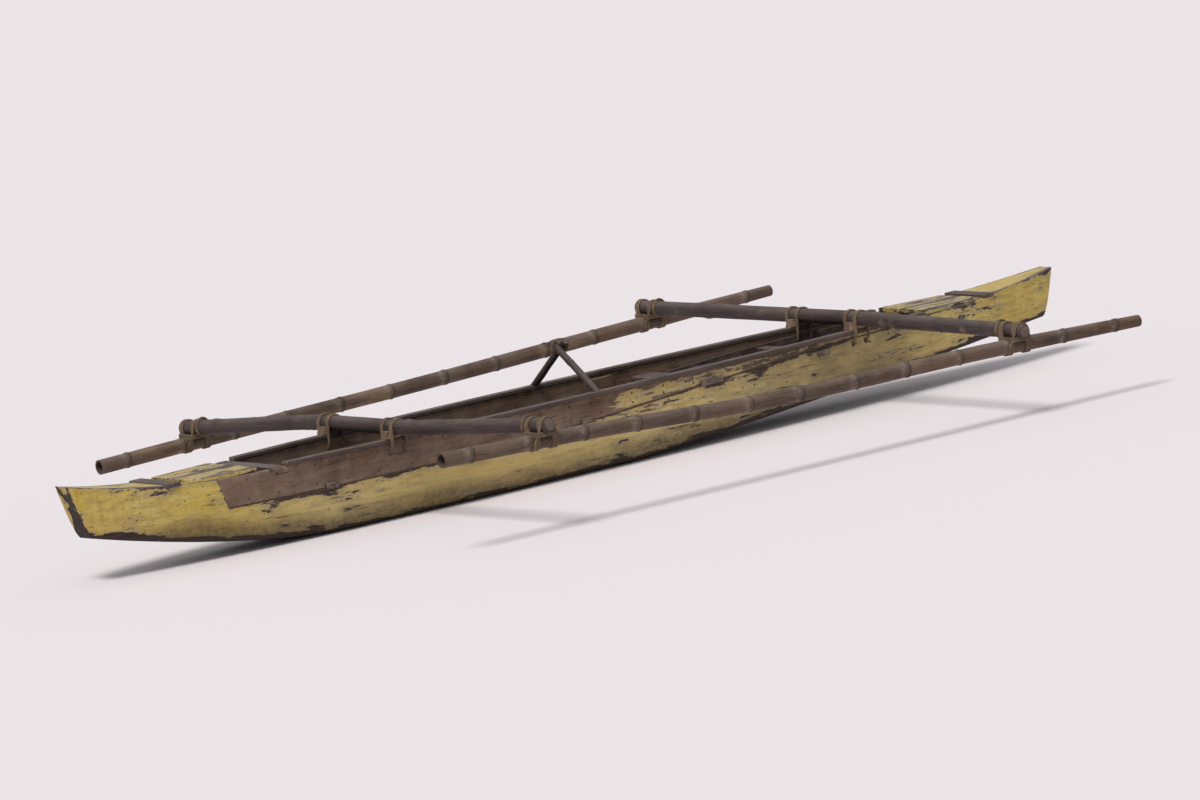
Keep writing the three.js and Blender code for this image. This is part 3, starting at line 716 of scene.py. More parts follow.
def hullSection(station, settings):
    # half a section, keel to rim to the middle of the floor: flat bottom, round bilge, upright side,
    # rounded rim, then the same curve taken in by the wall and up by the floor, closing to the top where
    # the ends are solid
    f = hullForm
    s = station[:, None]
    keel, top = keelAt(s), np.minimum(sheerAt(s), notchAt(s))
    flatY = f["flatShare"] * halfBeamAt(s)
    t = np.linspace(0, 1, settings["flatPoints"], endpoint=False)[None, :]
    bottom = np.stack([flatY * t, keel + 0 * t], -1)
    radius = settings["rimRadius"]
    share = np.linspace(0, 1, settings["sidePoints"])[None, :] ** settings["sideCrowding"]
    sideZ = keel + (top - radius - keel) * share
    side = np.stack([halfBreadthAt(s, sideZ), sideZ], -1)
    aft, fore = f["cavity"]
    hollow = smooth(aft - 0.006, aft + 0.045, s) * smooth(-fore - 0.006, -fore + 0.045, -s)
    edgeY = halfBreadthAt(s, top)
    innerY = edgeY - f["wall"]
    turn = np.linspace(0, np.pi / 2, settings["rimPoints"])[None, :]
    outerRim = np.stack([edgeY - radius * (1 - np.cos(turn)), top - radius * (1 - np.sin(turn))], -1)
    innerRim = np.stack([innerY + radius * (1 - np.sin(turn)),
                         top - radius * (1 - np.cos(turn)) * hollow], -1)
    near = np.maximum(0, 1 - np.minimum(s - aft, fore - s) / f["ramp"])
    floorZ = keel + f["floor"] + f["ramp"] * np.minimum(near, 1) ** 2
    drop = np.linspace(1, 0, settings["innerPoints"])[None, :] ** settings["wallCrowding"]
    wallZ = floorZ + (top - radius - floorZ) * drop
    wallY = np.maximum(halfBreadthAt(s, wallZ - f["floor"] / 2) - f["wall"], settings["leastInside"])
    floorShare = np.linspace(1, 0, settings["floorPoints"] + 1)[None, 1:]
    floorY = wallY[:, -1:] * floorShare
    wall = np.stack([wallY, wallZ], -1)
    floor = np.stack([floorY, floorZ + 0 * floorY], -1)
    cavity = np.concatenate([wall, floor], 1)
    along = np.linspace(0, 1, cavity.shape[1] + 1)[None, 1:]
    lid = np.stack([innerY * (1 - along), top + 0 * along], -1)
    inner = lid + (cavity - lid) * hollow[..., None]
    counts = (bottom.shape[1], side.shape[1], outerRim.shape[1] - 1, innerRim.shape[1])
    return np.concatenate([bottom, side, outerRim[:, 1:], innerRim, inner], 1), counts, hollow


def sideMarks(station):
    # painted shade with some soil on the forward half of the sides, and chalky paint everywhere but at the
    # ends
    marks = {}
    for key in ("soil", "chalk"):
        begun, ended = (smooth(*hullPiece[key + word], station) for word in ("From", "To"))
        marks[key] = (begun * (1 - ended))[:, None]
    return marks


def towardsMiddle(rings):
    # unit vectors in the section's plane that point from the surface towards a line along the hull's middle
    return unit(rings * (0, -1, -1) + (0, 0, 0.3), 1e-6)


def buildHull(settings):
    station = hullStations(settings)
    half, counts, opened = hullSection(station, settings)
    width = half.shape[1]
    starboard = half[:, 1:-1][:, ::-1] * (-1, 1)
    ring = np.concatenate([half, starboard], 1)
    x = np.broadcast_to(xAt(station)[:, None], ring.shape[:2])
    rings = joined(x, ring[..., 0], ring[..., 1])
    inside = np.zeros(width)
    inside[sum(counts[:3]):] = 1
    inside = np.concatenate([inside, inside[1:-1][::-1]])[None, :] * np.ones((len(station), 1))
    aft, fore = hullForm["cavity"]
    inside *= smooth(aft - 0.03, aft, station)[:, None]
    inside *= smooth(-fore - 0.03, -fore, -station)[:, None]
    inside *= opened > 0.02
    girth = np.cumsum(np.linalg.norm(np.diff(rings, axis=1, prepend=rings[:, :1]), axis=-1), axis=1)
    index = np.arange(ring.shape[1])
    fromKeel = np.minimum(index, ring.shape[1] - index)
    inner = (inside > 0.5) & (fromKeel > sum(counts[:4]))[None, :]
    hollow = bladeCuts(x, girth, settings["cutCell"], 3.1)
    planed = np.minimum(bladeCuts(x, girth, settings["outsideCell"], 7.7) - 0.3, 0)
    level = settings["cutLevel"]
    offset = np.where(inner, settings["cutDepth"] * (hollow - level), -settings["outsideDepth"] * planed)
    offset = offset * smooth(0, 6, np.abs(fromKeel - counts[0] - counts[1] - 2))[None, :]
    rings = rings + towardsMiddle(rings) * offset[..., None]
    rings[..., 1] += settings["sway"] * waves(rings * (1, 0, 0), 1.3, 11)
    rings[..., 2] = np.maximum(rings[..., 2], 0.0)
    rings = cutToEnds(rings)
    aboveKeel = rings[..., 2] - keelAt(station)[:, None]
    low = smooth(settings["lowHeight"], 0.0, aboveKeel)
    ends = smooth(*settings["endLength"], np.minimum(station, hullForm["length"] - station))[:, None]
    rim = np.exp(-((fromKeel - sum(counts[:2]) - 2) / 3.0) ** 2)[None, :]
    wear = np.clip(settings["lowWear"] * low + settings["endWear"] * ends + settings["rimWear"] * rim, 0, 1)
    edge = np.maximum(rim, inner * smooth(level, 0.5, hollow))
    aftShare, foreShare = 1 - smooth(*settings["riseAft"], station), smooth(*settings["riseFore"], station)
    rise = aboveKeel + (settings["riseAtEnds"] * aftShare + settings["riseAtEnds"] * foreShare)[:, None]
    marks = {"inside": inside, "wear": wear, "edge": edge, "rise": rise, **sideMarks(station)}
    parts = [skin(rings, marks=marks)]
    makePiece("hull_shell", parts, materials["hull"], ["hull_log"])
    print("hull:", rings.shape[0], "stations of", rings.shape[1], "points")


buildHull(hullPiece)

# Long strips on the hull: strakes, rails and the blocks behind the strakes' joints
stripPieces = {
    "ringPoints": 28, "step": 0.011, "cornerPower": 9, "sway": 0.0009, "jointGap": 0.0005,
    "paintFrom": (1.9, 2.9), "bareness": 1.6,   # the paint on the strakes begins between these stations
    "buttBlock": {"length": 0.15, "thick": 0.018, "lowGap": 0.008, "highGap": 0.010},
}


def stripRings(side, stations, low, high, inner, outer, power=None):
    # a soft-cornered box carried along the hull's side: up between low and high, across between two
    # distances from the hull's own surface
    across, up, corner = softBox(stripPieces["ringPoints"], power or stripPieces["cornerPower"])
    s = stations[:, None]
    z = (low + high)[:, None] / 2 + (high - low)[:, None] / 2 * up
    y = halfBreadthAt(s, z) + ((inner + outer) / 2 + (outer - inner) / 2 * across)
    rings = joined(xAt(s), side * y, z)
    rings[..., 1] += stripPieces["sway"] * waves(rings * (1, 0.2, 0.2), 0.35, 5)
    return rings, np.broadcast_to(corner, z.shape)


def softenEnds(rings, size=0.0025):
    # two more rings at each end, and the last one moved inwards by the size, draw in to a rounded arris
    def cap(ring, inward):
        fromCentre = ring - ring.mean(axis=0)
        reach = np.maximum(np.linalg.norm(fromCentre, axis=-1, keepdims=True), 1e-6)
        out = fromCentre / reach
        return np.stack([ring - out * np.minimum(size * pull, reach * 0.6) + inward * size * along
                         for pull, along in ((1.0, 0.0), (0.3, 0.3))])
    startWay, finishWay = unit((rings[1] - rings[0]).mean(0)), unit((rings[-2] - rings[-1]).mean(0))
    head, tail = cap(rings[0], startWay), cap(rings[-1], finishWay)
    body = rings.copy()
    body[0] = rings[0] + startWay * size
    body[-1] = rings[-1] + finishWay * size
    return np.concatenate([head, body, tail[::-1]])


def softSkin(rings, edge=None, size=0.0025, **marks):
    # a skin with rounded arrises at its ends, where the mark edge is 1 and other marks carry on
    edges = np.zeros(rings.shape[:2]) if edge is None else edge
    grown = {key: np.pad(value, ((2, 2), (0, 0)), mode="edge") for key, value in marks.items()}
    grown["edge"] = np.pad(edges, ((2, 2), (0, 0)), constant_values=1)
    return skin(softenEnds(rings, size), marks=grown)


def buildStrips():
    # strakes, rails and joint blocks: soft-cornered boxes carried along each side
    f, gap, step = hullForm, stripPieces["jointGap"], stripPieces["step"]
    # the strakes' tips end where the scarfs of the log come up to the sheer
    runAft = (sheerAt(0.66) - f["rimAft"]) * f["scarf"] / (f["notchTop"] - f["rimAft"])
    runFore = (f["sheer"] - f["rimFore"]) * f["scarf"] / (f["notchTop"] - f["rimFore"])
    tipAft, tipFore = f["notchFrom"] - runAft + 0.001, f["notchTo"] + runFore - 0.0005
    spans = {"aft": (tipAft, f["butt"] - gap), "fore": (f["butt"] + gap, tipFore)}
    block = stripPieces["buttBlock"]
    for side, word in bothSides:
        for key, (start, finish) in spans.items():
            stations = np.linspace(start, finish, int((finish - start) / step))
            low = np.minimum(notchAt(stations) + gap, sheerAt(stations) - 0.002)
            rings, edge = stripRings(side, stations, low, sheerAt(stations), -f["strake"], 0.0)
            depth = halfBreadthAt(stations[:, None], rings[..., 2]) - rings[..., 1] * side
            bare = stripPieces["bareness"] * (1 - smooth(*stripPieces["paintFrom"], stations))[:, None]
            marks = {"inside": np.where(depth > 0.012, 1.0, 0.0), "wear": edge + bare, "rise": rings[..., 2],
                     **sideMarks(stations)}
            parts = [softSkin(rings, edge, 0.0015, **marks)]
            makePiece(f"washstrake_{key}_{word}", parts, materials["strake"],
                      [f"strake_{key}_{word}"])
        stations = np.linspace(f["railFrom"], f["railTo"], int((f["railTo"] - f["railFrom"]) / step))
        top = sheerAt(stations)
        rings, edge = stripRings(side, stations, top + 0.0004, top + f["railHeight"],
                                 -f["railInside"], f["railOutside"], 7)
        parts = [softSkin(rings, edge)]
        makePiece(f"gunwale_{word}", parts, materials["darkX"], [f"rail_{word}"])
        half = block["length"] / 2
        stations = np.linspace(f["butt"] - half, f["butt"] + half, 16)
        low, high = rimAt(stations) + block["lowGap"], sheerAt(stations) - block["highGap"]
        rings, edge = stripRings(side, stations, low, high,
                                 -f["strake"] - block["thick"], -f["strake"] - 0.0004)
        parts = [softSkin(rings, edge)]
        makePiece(f"joint_block_{word}", parts, materials["plankX"],
                  [f"butt_block_{word}"])
    print("strips along the hull done")


buildStrips()

# Boards across the hull, each in the box of its node
boardPieces = {
    "ringPoints": 32, "cornerPower": 8, "lengthPoints": 44, "unevenWide": 0.02, "unevenThick": 0.05,
    "names": ["thwart_1", "thwart_2", "thwart_3", "thwart_4", "thwart_5",
              "crosspiece_stern", "crosspiece_aft", "crosspiece_bow"],
    "deckPoints": 40, "deckSplit": 0.0018, "deckInset": 0.003,
}


def buildBoards(settings):
    # a soft-cornered box carried across the hull, its width and thickness a little uneven
    across, up, corner = softBox(settings["ringPoints"], settings["cornerPower"])
    for number, name in enumerate(settings["names"]):
        low, high = np.array(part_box(name))
        middle, half = (low + high) / 2, (high - low) / 2
        t = np.linspace(-1, 1, settings["lengthPoints"])
        line = joined(middle[0], middle[1] + half[1] * t, middle[2])
        wide = half[0] * (1 - settings["unevenWide"] * (1 + waves(line, 0.3, 20 + number)))
        thick = half[2] * (1 - settings["unevenThick"] * (1 + waves(line, 0.22, 40 + number)) / 2)
        rings = line[:, None, :] + joined(wide[:, None] * across, 0, thick[:, None] * up)
        edge = np.broadcast_to(corner, rings.shape[:2])
        makePiece(f"{name}_board", [softSkin(rings, edge, 0.003)], materials["darkY"], [name])
    print("boards across the hull done")


def buildDecks(settings):
    # two planks side by side that follow the hull's own taper
    across, up, corner = softBox(settings["ringPoints"], settings["cornerPower"])
    for name in ("deck_stern", "deck_bow"):
        low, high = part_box(name)
        x = np.linspace(low[0], high[0], settings["deckPoints"])
        reach = halfBeamAt(x + hullForm["length"] / 2) - settings["deckInset"]
        parts = []
        for start, finish in ((-1, -settings["deckSplit"]), (settings["deckSplit"], 1)):
            a = np.where(abs(start) == 1, start * reach, start)
            b = np.where(abs(finish) == 1, finish * reach, finish)
            y = (a + b)[:, None] / 2 + (b - a)[:, None] / 2 * across
            rings = joined(x[:, None], y, (low[2] + high[2]) / 2 + (high[2] - low[2]) / 2 * up)
            edge = np.broadcast_to(corner, y.shape)
            marks = {"wear": edge, "inside": np.zeros_like(y), "rise": rings[..., 2]}
            parts.append(softSkin(rings, edge, 0.003, **marks))
        makePiece(f"{name}_planks", parts, materials["deck"], [name])
    print("decks done")


buildBoards(boardPieces)
buildDecks(boardPieces)

# Booms, floats and the rest's sticks
outrigger = {
    "rearStation": 1.53, "frontStation": 4.05, "floatOffset": 1.375, "caneRadius": 0.0325,
    "floatAft": -1.63, "floatFore": 2.08, "sag": {1: 0.005, -1: 0.022},
    "boomRadius": 0.0325, "boomTip": 0.027, "tipFrom": 1.432, "boomHalf": 1.456, "boomSway": 0.0025,
    "boomOverRail": 0.045, "levelTo": 0.32, "contact": 0.0003,
    "lift": {"rear": {1: -0.07, -1: 0.053}, "front": {1: 0.0, -1: -0.018}},   # where each float hangs
    "jointSpacing": 0.285, "jointFirst": 0.15, "caneWall": 0.008, "caneDepth": 0.07, "sides": 30,
    "jointShapes": [(0.0030, 0.0, 0.0045), (0.0016, 0.0115, 0.0028), (-0.0008, 0.0065, 0.0025)],
    "taper": 0.007, "taperOver": 0.68, "pressed": 0.8, "pressedOver": 0.07, "bloomBack": 0.03,
    "bloomOver": 0.014, "boomKnots": 16, "boomKnotOver": 0.022, "scarHeight": 0.0035, "scarOver": 0.008,
    "boomPoints": 250, "floatPoints": 240, "jointPoints": 21, "jointReach": 0.02, "jointShift": 0.012,
}
railTop = hullForm["sheer"] + hullForm["railHeight"]
boomHeight = railTop + outrigger["boomOverRail"]
boomStations = (outrigger["rearStation"], outrigger["frontStation"])
# how far a float's middle lies below a boom's
floatDrop = outrigger["caneRadius"] + outrigger["boomRadius"] + outrigger["contact"]

# Pegs, and the pitch that fills the seams
fixings = {
    "pegRadius": 0.0048, "pegHeight": 0.0014, "strakeSpacing": 0.165, "overSeam": 0.024, "underRail": 0.022,
    "railSpacing": 0.29, "pegSides": 12, "seamRadius": 0.0034, "seamStep": 0.012, "seamSides": 10,
    "boomClear": 0.08, "plugRadius": 0.0125, "plugHeight": 0.003, "plugReach": 0.037,
    "plugZ": 0.3, "boards": ("crosspiece_stern", "crosspiece_aft", "crosspiece_bow"), "boardInset": 0.021,
    "boardApart": 0.013, "decks": ("deck_stern", "deck_bow"), "deckInset": 0.017, "topSink": 0.0006,
    "deckPegs": 4, "deckPegInset": 0.025, "shift": 0.015, "leastRoom": 0.06, "plugSides": 20,
    "seamSink": 0.6, "seamUneven": 0.22,
}


def domes(centres, ways, radius, height, sides):
    # low domes: circles that shrink as the cosine while they rise as the sine, one for each centre and way
    ways = unit(ways)
    first = unit(np.cross(ways, (0.3, 0.2, 0.9)))
    second = np.cross(ways, first)
    turn = fullTurn(sides)
    climb = np.array([-0.9, 0.0, 0.35, 0.7, 0.95])
    wide = radius * np.where(climb < 0, 1, np.sqrt(1 - np.maximum(climb, 0) ** 2 * 0.93))
    circle = first[:, None, None] * np.cos(turn)[:, None] + second[:, None, None] * np.sin(turn)[:, None]
    raised = ways[:, None, None] * (height * climb)[None, :, None, None]
    rings = centres[:, None, None] + wide[None, :, None, None] * circle + raised
    return [skin(ring) for ring in rings]


def hullSide(side, stations, heights):
    # points on the hull's side and the directions that face outwards there
    y = halfBreadthAt(stations, heights)
    slopeX = (halfBreadthAt(stations + 0.01, heights) - y) / 0.01
    slopeZ = (halfBreadthAt(stations, heights + 0.004) - y) / 0.004
    return joined(xAt(stations), side * y, heights), joined(-slopeX, side, -slopeZ)


def pegsOnTop(settings):
    # places on the upper faces of the boards and decks, over the hull's edge on both sides
    places = []
    for name in settings["boards"]:
        low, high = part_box(name)
        for apart in (-settings["boardApart"], settings["boardApart"]):
            y = high[1] - settings["boardInset"]
            places += [((low[0] + high[0]) / 2 + apart, side * y, high[2]) for side in (1, -1)]
    for name in settings["decks"]:
        low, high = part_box(name)
        for x in np.linspace(low[0] + settings["deckPegInset"], high[0] - settings["deckPegInset"],
                             settings["deckPegs"]):
            y = float(halfBeamAt(np.array(x + hullForm["length"] / 2))) - settings["deckInset"]
            places += [(x, side * y, high[2]) for side in (1, -1)]
    return np.array(places) - (0, 0, settings["topSink"])


def buildFixings(settings):
    # pegs at even steps along the strakes and rails, a little shifted along the strakes, and on the boards;
    # plugs where the ties go through the side, and a cord of pitch along each seam
    f = hullForm
    peg = (settings["pegRadius"], settings["pegHeight"], settings["pegSides"])
    pegs, seams = [], []
    draw = np.random.default_rng(33)
    for side in (1, -1):
        s = np.arange(f["notchFrom"] + 0.08, f["notchTo"] - 0.05, settings["strakeSpacing"])
        s = s + draw.uniform(-settings["shift"], settings["shift"], len(s))
        for heights in (rimAt(s) + settings["overSeam"], sheerAt(s) - settings["underRail"]):
            room = sheerAt(s) - rimAt(s) > settings["leastRoom"]
            centres, ways = hullSide(side, s[room], heights[room])
            pegs += domes(centres, ways, *peg)
        s = np.arange(f["railFrom"] + 0.06, f["railTo"] - 0.04, settings["railSpacing"])
        y = side * (halfBeamAt(s) + (f["railOutside"] - f["railInside"]) / 2)
        centres = joined(xAt(s), y, sheerAt(s) + f["railHeight"] - settings["topSink"])
        fromBooms = np.abs(s[:, None] - np.array(boomStations)).min(axis=1)
        centres = centres[fromBooms > settings["boomClear"]]
        pegs += domes(centres, np.broadcast_to((0.0, 0.0, 1.0), centres.shape), *peg)
        s = np.add.outer(boomStations, (-settings["plugReach"], settings["plugReach"])).ravel()
        centres, ways = hullSide(side, s, np.full_like(s, settings["plugZ"]))
        seams += domes(centres, ways, settings["plugRadius"], settings["plugHeight"], settings["plugSides"])
        s = np.arange(f["notchFrom"] + 0.012, f["notchTo"] - 0.01, settings["seamStep"])
        line, ways = hullSide(side, s, rimAt(s))
        line = line - settings["seamSink"] * settings["seamRadius"] * unit(ways)
        radius = settings["seamRadius"] * (1 + settings["seamUneven"] * waves(line, 0.06, 35 + side))
        seams.append(skin(poleRings(line, radius, settings["seamSides"])))
    tops = pegsOnTop(settings)
    pegs += domes(tops, np.broadcast_to((0.0, 0.0, 1.0), tops.shape), *peg)
    makePiece("pegs", pegs, materials["peg"])
    makePiece("seam_pitch", seams, materials["peg"])
    print("fixings done:", len(pegs), "pegs")


def boomLift(which, y):
    # level over the hull, then straight down or up on each side with a soft bend between
    o = outrigger
    over = np.abs(y) - o["levelTo"]
    outside = (over + np.sqrt(over ** 2 + 0.0016)) / 2 / (o["floatOffset"] - o["levelTo"])
    return np.where(np.asarray(y) > 0, o["lift"][which][1], o["lift"][which][-1]) * outside


def boomLine(which, y):
    # the boom's centre line, with a slow sway along the hull
    o = outrigger
    sway = o["boomSway"] * np.sin(np.asarray(y) * 2.1 + (which == "front"))
    return joined(xAt(o[which + "Station"]) + sway, y, boomHeight + boomLift(which, y))


def boomRadiusAt(y):
    # one radius, brought down to the tip's by an even S
    o = outrigger
    return o["boomRadius"] - (o["boomRadius"] - o["boomTip"]) * smooth(o["tipFrom"], o["boomHalf"], np.abs(y))


def floatLine(side, x):
    # straight between the booms' undersides but for a sag, with a slow sway to the side
    o = outrigger
    rear, front = (xAt(station) for station in boomStations)
    heights = [boomHeight + float(boomLift(which, side * o["floatOffset"])) - floatDrop
               for which in ("rear", "front")]
    t = (x - rear) / (front - rear)
    sag = o["sag"][side] * np.sin(np.pi * np.clip(t, 0, 1)) ** 2
    y = side * o["floatOffset"] + 0.0025 * np.sin(x * 1.7 + side)
    return joined(x, y, heights[0] + (heights[1] - heights[0]) * t - sag)


def poleRings(line, radius, count, reference=(0, 0, 1)):
    # circles of the given radius square to a line of points; radius has shape (points,) or (points, count)
    tangent = unit(np.gradient(line, axis=0))
    reference = np.broadcast_to(reference, line.shape)
    normal = unit(reference - (reference * tangent).sum(-1, keepdims=True) * tangent)
    radius = radius[:, None] if np.ndim(radius) == 1 else radius
    return ringsRound(line, normal, np.cross(tangent, normal), radius, fullTurn(count))


def knots(along, angle, places, size):
    # low rounded bumps where branches were cut, at (place, turn, height) rows
    total = np.zeros(np.broadcast(along, angle).shape)
    for place, turn, height in places:
        away = ((along - place) / size) ** 2 + (np.angle(np.exp(1j * (angle - turn))) / 0.5) ** 2
        total += height * np.exp(-away)
    return total


def buildBooms(settings):
    # a straight peeled pole: tips worked down, cut knots and a slightly oval section
    sides, half = settings["sides"], settings["boomHalf"]
    angle = fullTurn(sides)
    for number, which in enumerate(("rear", "front")):
        even, tip = np.linspace(-half, half, settings["boomPoints"]), np.linspace(half - 0.03, half, 12)
        y = np.unique(np.concatenate([even, tip, np.linspace(-half, 0.03 - half, 12)]))
        line = boomLine(which, y)
        draw = np.random.default_rng(60 + number)
        places = [(draw.choice((-1, 1)) * draw.uniform(0.35, 1.25), draw.uniform(0, 2 * np.pi),
                   draw.uniform(0.0015, 0.004)) for _ in range(settings["boomKnots"])]
        bumps = knots(y[:, None], angle, places, settings["boomKnotOver"])
        ripple = 0.0006 * waves(line, 0.25, 70 + number)[:, None] + 0.0004 * np.cos(2 * angle + number)
        rings = poleRings(line, boomRadiusAt(y)[:, None] + bumps + ripple, sides)
        rings[..., 1] = np.clip(rings[..., 1], -half, half)
        parts = [softSkin(rings, np.clip(bumps / 0.002, 0, 1), 0.004)]
        makePiece(f"boom_pole_{which}", parts, materials["pole"], [f"boom_{which}"])
    print("booms done")


def buildFloats(settings):
    # a cane: thick aft and slimmer forward, a raised ring with a groove beside it at each joint, flatter
    # where it is pressed under a boom, and open ends that show the wall and the next partition;
    # a row of jointShapes is a height, a place aft of the joint and a width
    o, sides = settings, settings["sides"]
    angle = fullTurn(sides)
    for number, (side, word) in enumerate(bothSides):
        joints = np.arange(o["floatAft"] + o["jointFirst"], o["floatFore"] - 0.06, o["jointSpacing"])
        draw = np.random.default_rng(90 + number)
        joints = joints + draw.uniform(-o["jointShift"], o["jointShift"], len(joints))
        near = joints[:, None] + np.linspace(-o["jointReach"], o["jointReach"], o["jointPoints"])
        even = np.linspace(o["floatAft"], o["floatFore"], o["floatPoints"])
        x = np.unique(np.round(np.concatenate([even, near.ravel()]), 5))
        away = x[:, None] - joints[None, :]
        ridge = sum(height * np.exp(-((away + aft) / width) ** 2) for height, aft, width in o["jointShapes"])
        ridge = ridge.sum(1)
        taper = -o["taper"] * np.clip((x - xAt(o["frontStation"])) / o["taperOver"], 0, 1)
        fromBooms = x[:, None] - [xAt(station) for station in boomStations]
        ridge = ridge * (1 - o["pressed"] * np.exp(-(fromBooms / o["pressedOver"]) ** 4).sum(1))
        radius = o["caneRadius"] + taper + ridge
        line = floatLine(side, x)
        scars = [(joint + 0.004, i % 2 * np.pi + 0.6, o["scarHeight"]) for i, joint in enumerate(joints)]
        oval = 0.0004 * np.cos(2 * angle + 0.4 * number) + 0.0004 * waves(line, 0.3, 95 + number)[:, None]
        body = radius[:, None] + oval + knots(x[:, None], angle, scars, o["scarOver"])
        rings = poleRings(line, body, sides)
        tones = draw.uniform(0, 1, len(joints) + 1)[np.searchsorted(joints, x)]
        bloom = np.exp(-((away + o["bloomBack"]) / o["bloomOver"]) ** 2).sum(1)
        marks = {"ring": np.clip(ridge / 0.0022, 0, 1), "tone": tones, "bloom": np.clip(bloom, 0, 1)}
        inner = []
        for end, inward in ((0, 1), (-1, -1)):
            stub = line[[end, end]] + [[0, 0, 0], [1e-3, 0, 0]]
            inside = [(0.0015, 0.0), (o["caneWall"], 0.0), (o["caneWall"], 0.5), (o["caneWall"], 1.0)]
            inner.append(np.stack([poleRings(stub, np.full(2, radius[end] - wall), sides)[0]
                                   + [o["caneDepth"] * depth * inward, 0, 0] for wall, depth in inside]))
        rings = np.concatenate([inner[0][::-1], rings, inner[1]])
        inEnds = {"ring": 0.7, "tone": 0.5, "bloom": 0.0}
        marks = {key: np.pad(value, 4, constant_values=inEnds[key])[:, None] for key, value in marks.items()}
        parts = [skin(rings, marks=marks)]
        makePiece(f"cane_float_{word}", parts, materials["bamboo"], [f"float_{word}"])
    print("floats done")


buildFixings(fixings)
buildBooms(outrigger)
buildFloats(outrigger)

# Blocks between the rails and the booms
saddlePiece = {
    "length": 0.096, "foot": 0.12, "height": 0.034, "gap": 0.0004, "arcPoints": 14, "edgePoints": 5,
    "widePoints": 9, "arris": 0.0018,
}


def buildSaddles(settings):
    # an outline of foot, flanks and a hollow for the boom, carried across the rail
    o = outrigger
    radius = o["boomRadius"] + settings["gap"]
    opening = math.asin((o["boomOverRail"] - settings["height"]) / radius)
    turn = np.linspace(-opening, -(math.pi - opening), settings["arcPoints"])
    arc = np.stack([radius * np.cos(turn), o["boomOverRail"] + radius * np.sin(turn)], -1)
    corners = np.array([(-settings["foot"] / 2, settings["gap"]), (settings["foot"] / 2, settings["gap"]),
                        (settings["length"] / 2, settings["height"])])
    last = np.array([(-settings["length"] / 2, settings["height"])])
    outline = np.concatenate([corners, arc, last, corners[:1]])
    t = np.linspace(0, 1, settings["edgePoints"], endpoint=False)[:, None, None]
    ring = (outline[:-1] * (1 - t) + outline[1:] * t).transpose(1, 0, 2).reshape(-1, 2)
    for which in ("rear", "front"):
        for _, word in bothSides:
            name = f"saddle_{which}_{word}"
            low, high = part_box(name)
            y = np.linspace(low[1], high[1], settings["widePoints"])
            rings = joined(xAt(o[which + "Station"]) + ring[:, 0], y[:, None], railTop + ring[:, 1])
            parts = [softSkin(rings, None, settings["arris"])]
            makePiece(f"{name}_block", parts, materials["plankX"], [name], 30)
    print("saddles done")


buildSaddles(saddlePiece)

# Rope
ropeWork = {
    "radius": 0.004, "step": 0.0034, "sides": 12, "pitch": 0.027,
    "floatTurns": 4, "hullTurns": 3, "frapTurns": 3, "pinch": 0.86, "frapOutside": 0.009,
    "tieDepth": 0.062, "tieGap": 0.002, "tieGather": 0.5, "bite": 0.0004,
    "hitchFrom": 0.082, "hitchHalf": 0.0075,
    "floatBend": 0.005, "frapBend": 0.006, "hitchBend": 0.003, "hullBend": 0.004,   # roundness of corners
}


def evenPath(points, step, rounding):
    # the same closed path with points an even step apart, its corners rounded by a Gaussian of the length
    # given as rounding
    loop = np.concatenate([points, points[:1]])
    length = np.append(0, np.cumsum(np.linalg.norm(np.diff(loop, axis=0), axis=-1)))
    count = max(int(length[-1] / step), 8)
    even = np.linspace(0, length[-1], count, endpoint=False)
    path = np.stack([np.interp(even, length, loop[:, axis]) for axis in range(3)], -1)
    reach = max(int(3 * rounding / step), 1)
    weight = np.exp(-0.5 * (np.arange(-reach, reach + 1) * step / rounding) ** 2)
    weight /= weight.sum()
    padded = np.concatenate([path[-reach:], path, path[:reach]])
    return np.stack([np.convolve(padded[:, axis], weight, "valid") for axis in range(3)], -1)


def ropeSkin(path, centre, radius=ropeWork["radius"]):
    # three strands laid together: the radius swells and falls three times round the rope and turns along it
    w = ropeWork
    tangent = unit(np.roll(path, -1, 0) - np.roll(path, 1, 0))
    outward = path - centre
    normal = unit(outward - (outward * tangent).sum(-1, keepdims=True) * tangent)
    length = np.append(0, np.cumsum(np.linalg.norm(np.diff(path, axis=0), axis=-1)))
    whole = length[-1] + np.linalg.norm(path[0] - path[-1])
    lays = max(round(whole / (w["pitch"] / 3)), 1) / 3
    angle = fullTurn(w["sides"])
    phase = 2 * np.pi * lays * length[:, None] / whole
    lobe = np.abs(np.cos(1.5 * (angle - phase)))
    rings = ringsRound(path, normal, np.cross(tangent, normal), radius * (0.82 + 0.2 * lobe ** 0.8), angle)
    return skin(rings, True, {"valley": 1 - lobe})


def floatTurn(turn, boomSlope, floatSlope):
    # one turn of a square lashing: over the boom, down, under the float, up, and round again on the other
    # side; halfway down, the four legs are drawn in towards the crossing
    o, r, pinch = outrigger, ropeWork["radius"], ropeWork["pinch"]
    boomR, floatR = o["boomRadius"] + r - ropeWork["bite"], o["caneRadius"] + r - ropeWork["bite"]
    apartY, apartX = floatR + 2 * r * turn, boomR + 2 * r * turn
    half = np.linspace(0, np.pi, 24)
    over = joined(boomR * np.cos(half), apartY, floatDrop + boomR * np.sin(half))
    under = joined(-apartX, floatR * np.cos(half), -floatR * np.sin(half))
    waist = np.array([[(boomR + apartX) / 2, (floatR + apartY) / 2, floatDrop / 2]]) * (pinch, pinch, 1)
    overBack = over[::-1] * (1, -1, 1)
    underBack = under[::-1] * (-1, 1, 1)
    for arc in (over, overBack):
        arc[:, 2] += arc[:, 1] * boomSlope
    for arc in (under, underBack):
        arc[:, 2] += arc[:, 0] * floatSlope
    return np.concatenate([over, waist * (-1, 1, 1), under, waist * (-1, -1, 1),
                           overBack, waist * (1, -1, 1), underBack, waist])


